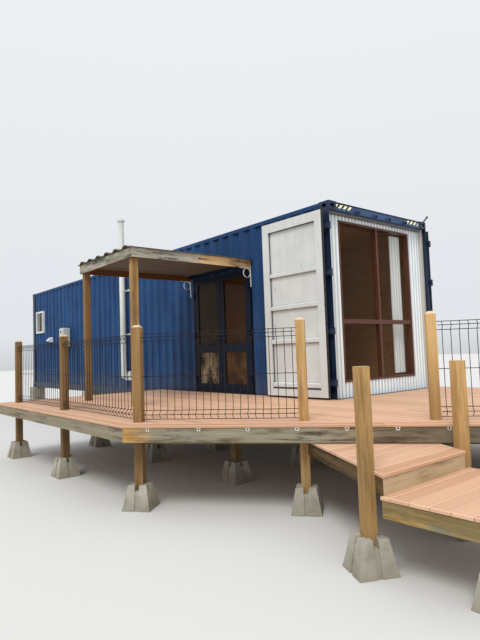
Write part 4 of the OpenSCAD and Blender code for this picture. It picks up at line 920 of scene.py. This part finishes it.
POST, POST_INSET, SLANT_INSET = 0.090, 0.275, 0.290
SIDE_X = END_X - POST_INSET
LAST_S = (SIDE_X - SLANT_X + SLANT_INSET * SIN) / COS
FENCE = [Vector((-4.220, FRONT_Y + POST_INSET)), Vector((-2.280, FRONT_Y + POST_INSET)),
         *(on_slant(s, -SLANT_INSET) for s in (0.060, 1.752, 2.963, LAST_S)),
         Vector((SIDE_X, FAR_Y - POST_INSET))]
TURN = [0, 0, SLANT, SLANT, SLANT, SLANT, 0]
WIRE_R, WIRE_PITCH = 0.0033, 0.076
END_ROOM = 0.040                            # least room beside the outer upright wires, both together
SOLID_WIRE_R, SEAT = 0.003, 0.0003          # of the plain wires that these replace: radius, gap at a post
FOLD, FOLD_SHORT = 0.044, 0.010             # how far a fold stands out, and how much its wire ends early
PROFILE = [(0.0, 0.190), (FOLD, 0.240), (0.0, 0.279), (0.0, 0.988), (FOLD, 1.030), (0.0, 1.066)]
LEVELS = PROFILE[:3] + [(0.0, 0.627)] + PROFILE[3:]


def fence(bm, k0, k1):
    """A welded wire panel between two posts, folded in a V along its foot and its top."""
    a, b = FENCE[k0], FENCE[k1]
    run = (b - a).normalized()
    out = Vector((run.y, -run.x))

    def face(k):
        """From a post's middle to where the wires meet its face."""
        d = math.atan2(run.y, run.x) - TURN[k]
        d = abs(d - math.pi / 2 * round(d / (math.pi / 2)))
        return POST / 2 / math.cos(d) + SOLID_WIRE_R * math.tan(d) + SEAT

    def at(x, o, z):
        q = a + run * x + out * o
        return (q.x, q.y, LIFT + z)

    x0, x1 = face(k0), (b - a).length - face(k1)
    n = int((x1 - x0 - END_ROOM) / WIRE_PITCH)
    start = (x0 + x1 - n * WIRE_PITCH) / 2
    for k in range(n + 1):
        tube(bm, [at(start + k * WIRE_PITCH, o, z) for o, z in PROFILE], WIRE_R, (run.x, run.y, 0))
    for o, z in LEVELS:
        short = FOLD_SHORT if o else 0.0
        tube(bm, [at(x0 + short, o, z), at(x1 - short, o, z)], WIRE_R, (0, 0, 1))


for name, node, runs in (("front_fence_wires", "mesh_front", ((0, 1), (1, 2))),
                         ("slant_fence_wires", "mesh_slant", ((2, 3),)),
                         ("right_fence_wires", "mesh_right", ((4, 5),)),
                         ("side_fence_wires", "mesh_side", ((5, 6),))):
    bm = bmesh.new()
    for k0, k1 in runs:
        fence(bm, k0, k1)
    ob = mesh_object(name, bm, ["wire"], smooth=True)
    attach(ob, "root")
    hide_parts(node)


# ---------------------------------------------------------------- white clips along the slanted edge
CLIPS_AT = (0.260, 0.775, 1.250, 1.710, 2.160, 2.600, 3.030, 3.460, 3.890, 4.320)
CLIP_DROP = 0.014                           # below the decking's underside
CLIP_ROWS = ((-0.001, 0.025), (0.003, 0.025), (0.0035, 0.009), (0.0070, 0.008), (0.0075, 0.004))
WAIST = 0.55                                # the star's inner corners, as a share of its radius
bm = bmesh.new()
clip_out, clip_along = (Vector((*v, 0)) for v in (SLANT_OUT, SLANT_DIR))
for s in CLIPS_AT:
    base = Vector((*on_slant(s, -NOSING), DECK_Z - BOARD_T - CLIP_DROP))
    rings = []
    for depth, radius in CLIP_ROWS:
        rings.append([bm.verts.new(base + clip_out * depth
                                   + (clip_along * math.cos(u) + Vector((0, 0, math.sin(u)))) * radius
                                   * (WAIST if k % 2 and radius > 0.01 else 1.0))
                      for k, u in enumerate(math.pi * (j / 5 + 0.1) for j in range(10))])
    for row, (lo, hi) in enumerate(zip(rings, rings[1:])):
        skin(bm, lo, hi, row > 1)
    bm.faces.new(rings[0][::-1])
    bm.faces.new(rings[-1]).material_index = 1
clips = mesh_object("edge_clips", bm, ["scroll", "wire"])
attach(clips, "root")


# ---------------------------------------------------------------- short rod on the far top corner
ROD_FOOT, ROD_TIP = Vector((-0.014, 2.384, 3.590)), Vector((-0.014, 2.534, 3.708))
ROD_R, TIP_R, NECK_AT = 0.0115, 0.0155, 0.78
neck = ROD_FOOT.lerp(ROD_TIP, NECK_AT)
bm = bmesh.new()
for a, b, radius in ((ROD_FOOT, neck, ROD_R), (neck, ROD_TIP, TIP_R)):
    tube(bm, [a, b], radius, (1, 0, 0), 10)
rod = mesh_object("corner_rod", bm, ["under"])
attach(rod, "root")


# ---------------------------------------------------------------- water heater on the wall
HEATER = ((-9.490, -0.200, 1.850), (-9.190, WALL_Y - 0.001, 2.370))
HEATER_EASE = 0.022
OUTLET_DROP = 0.100                         # from the heater's top to its outlet's middle
OUTLET_RINGS = ((0.046, 0.012, 0), (0.036, 0.0125, 1))    # radius, how far it stands out, and material
bm = bmesh.new()
size = [hi - lo for lo, hi in zip(*HEATER)]
middle = [(hi + lo) / 2 for lo, hi in zip(*HEATER)]
bmesh.ops.create_cube(bm, size=1.0, matrix=Matrix.Translation(middle) @ Matrix.Diagonal((*size, 1.0)))
bmesh.ops.bevel(bm, geom=bm.edges[:], offset=HEATER_EASE, segments=3, affect="EDGES")
outlet = Vector((middle[0], HEATER[0][1], HEATER[1][2] - OUTLET_DROP))
for radius, depth, look in OUTLET_RINGS:
    lo, hi = ([bm.verts.new(outlet + Vector((radius * math.cos(u), -y, radius * math.sin(u))))
               for u in circle(20)] for y in (-0.002, depth))
    skin(bm, lo, hi, look)
    for ring in (lo[::-1], hi):
        bm.faces.new(ring).material_index = look
heater = mesh_object("wall_heater", bm, ["heater", "under"])
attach(heater, "root")


# ---------------------------------------------------------------- curtain
RAIL_X, RAIL_Z, RAIL_R = -0.274, 3.352, 0.0105
CURTAIN_Y0, CURTAIN_W, CURTAIN_FOOT = 1.765, 0.285, 1.132
FOLD_DEPTH, FOLD_DRIFT = 0.026, 0.006
WAVES, COLS, LINES = 4, 72, 40
curtain_top = RAIL_Z - RAIL_R
rng = random.Random(3)
shift = [rng.uniform(-0.35, 0.35) for _ in range(WAVES + 1)]
bm = bmesh.new()
grid = []
for j in range(LINES + 1):
    v = j / LINES
    row = []
    for i in range(COLS + 1):
        u = i / COLS
        at = u * WAVES
        k = int(min(at, WAVES - 1e-6))
        soft = shift[k] + (shift[k + 1] - shift[k]) * (at - k)
        depth = FOLD_DEPTH + FOLD_DRIFT * math.sin(2.2 * v + 3 * u)
        x = RAIL_X + depth * math.sin(2 * math.pi * at + soft * v) + 0.002 * math.sin(9 * v + 20 * u)
        y = CURTAIN_Y0 + CURTAIN_W * u + 0.007 * v * math.sin(math.pi * at + soft)
        row.append(bm.verts.new((x, y, curtain_top + (CURTAIN_FOOT - curtain_top) * v)))
    grid.append(row)
for lo, hi in zip(grid, grid[1:]):
    for i in range(COLS):
        bm.faces.new((lo[i], lo[i + 1], hi[i + 1], hi[i]))
drape = mesh_object("window_curtain", bm, ["cloth"], smooth=True)
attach(drape, "root")
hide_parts("curtain")


# ---------------------------------------------------------------- eased edges on carried-over nodes
for node, width, count in (("footings", 0.016, 3), ("posts", 0.003, 2), ("awning_posts", 0.003, 2),
                           ("castings", 0.004, 2), ("near_leaf", 0.003, 2), ("far_leaf", 0.003, 2),
                           ("window_frame", 0.003, 2), ("piers", 0.010, 2)):
    mod = NODES[node].modifiers.new("eased", "BEVEL")
    mod.width = width
    mod.segments = count
    mod.limit_method = "ANGLE"
    mod.angle_limit = math.radians(35)


# ---------------------------------------------------------------- stage, light and camera
floor_look = Mat("studio_floor", 0.9, 0.1)
floor_look.color((214, 214, 212))
bpy.ops.mesh.primitive_plane_add(size=160, location=(0, 0, -0.002))
ground = bpy.context.object
ground.name = "studio_floor"
ground.data.materials.append(floor_look.m)

world = bpy.data.worlds.new("studio")
SCENE.world = world
world.use_nodes = True
wn = world.node_tree
way = wn.nodes.new("ShaderNodeTexCoord")
part = wn.nodes.new("ShaderNodeSeparateXYZ")
sky = wn.nodes.new("ShaderNodeValToRGB")
lift = wn.nodes.new("ShaderNodeMath")       # from -1 .. 1 to 0 .. 1
lift.operation = "MULTIPLY_ADD"
lift.inputs[1].default_value = 0.5
lift.inputs[2].default_value = 0.5
stops = sky.color_ramp.elements
for stop, place, tone in ((stops[0], 0.42, (0.30, 0.30, 0.29, 1.0)),
                          (stops.new(0.5), 0.52, (0.80, 0.83, 0.87, 1.0)),
                          (stops[-1], 1.0, (0.97, 0.99, 1.0, 1.0))):
    stop.position = place
    stop.color = tone
wn.links.new(way.outputs["Generated"], part.inputs[0])
wn.links.new(part.outputs[2], lift.inputs[0])
wn.links.new(lift.outputs[0], sky.inputs[0])
wn.links.new(sky.outputs[0], wn.nodes["Background"].inputs[0])
wn.nodes["Background"].inputs[1].default_value = 0.95

sun = bpy.data.objects.new("key", bpy.data.lights.new("key", "SUN"))
sun.data.energy = 1.7
sun.data.angle = math.radians(25)
sun.data.color = (1.0, 0.98, 0.95)
sun.rotation_euler = Vector((-0.62, 0.95, -1.35)).to_track_quat("-Z", "Y").to_euler()
SCENE.collection.objects.link(sun)

# The camera is fitted to the photograph: 640 pixels high, focal length 526.2 pixels.
FOCAL, PHOTO_H, SENSOR = 526.2, 640.0, 32.0
cam = bpy.data.objects.new("photo_camera", bpy.data.cameras.new("photo_camera"))
cam.data.sensor_fit = "VERTICAL"
cam.data.sensor_height = SENSOR
cam.data.lens = FOCAL * SENSOR / PHOTO_H
cam.data.clip_end = 500.0
fwd = Vector((-0.76858, 0.63676, 0.06183)).normalized()
side = Vector((0.63591, 0.77097, -0.03510)).normalized()
up = side.cross(fwd).normalized()
side = fwd.cross(up).normalized()
turn = Matrix((side, up, -fwd)).transposed().to_4x4()
cam.matrix_world = Matrix.Translation((4.671, -5.520, 1.540)) @ turn
SCENE.collection.objects.link(cam)
SCENE.camera = cam
SCENE.view_settings.view_transform = "Standard"
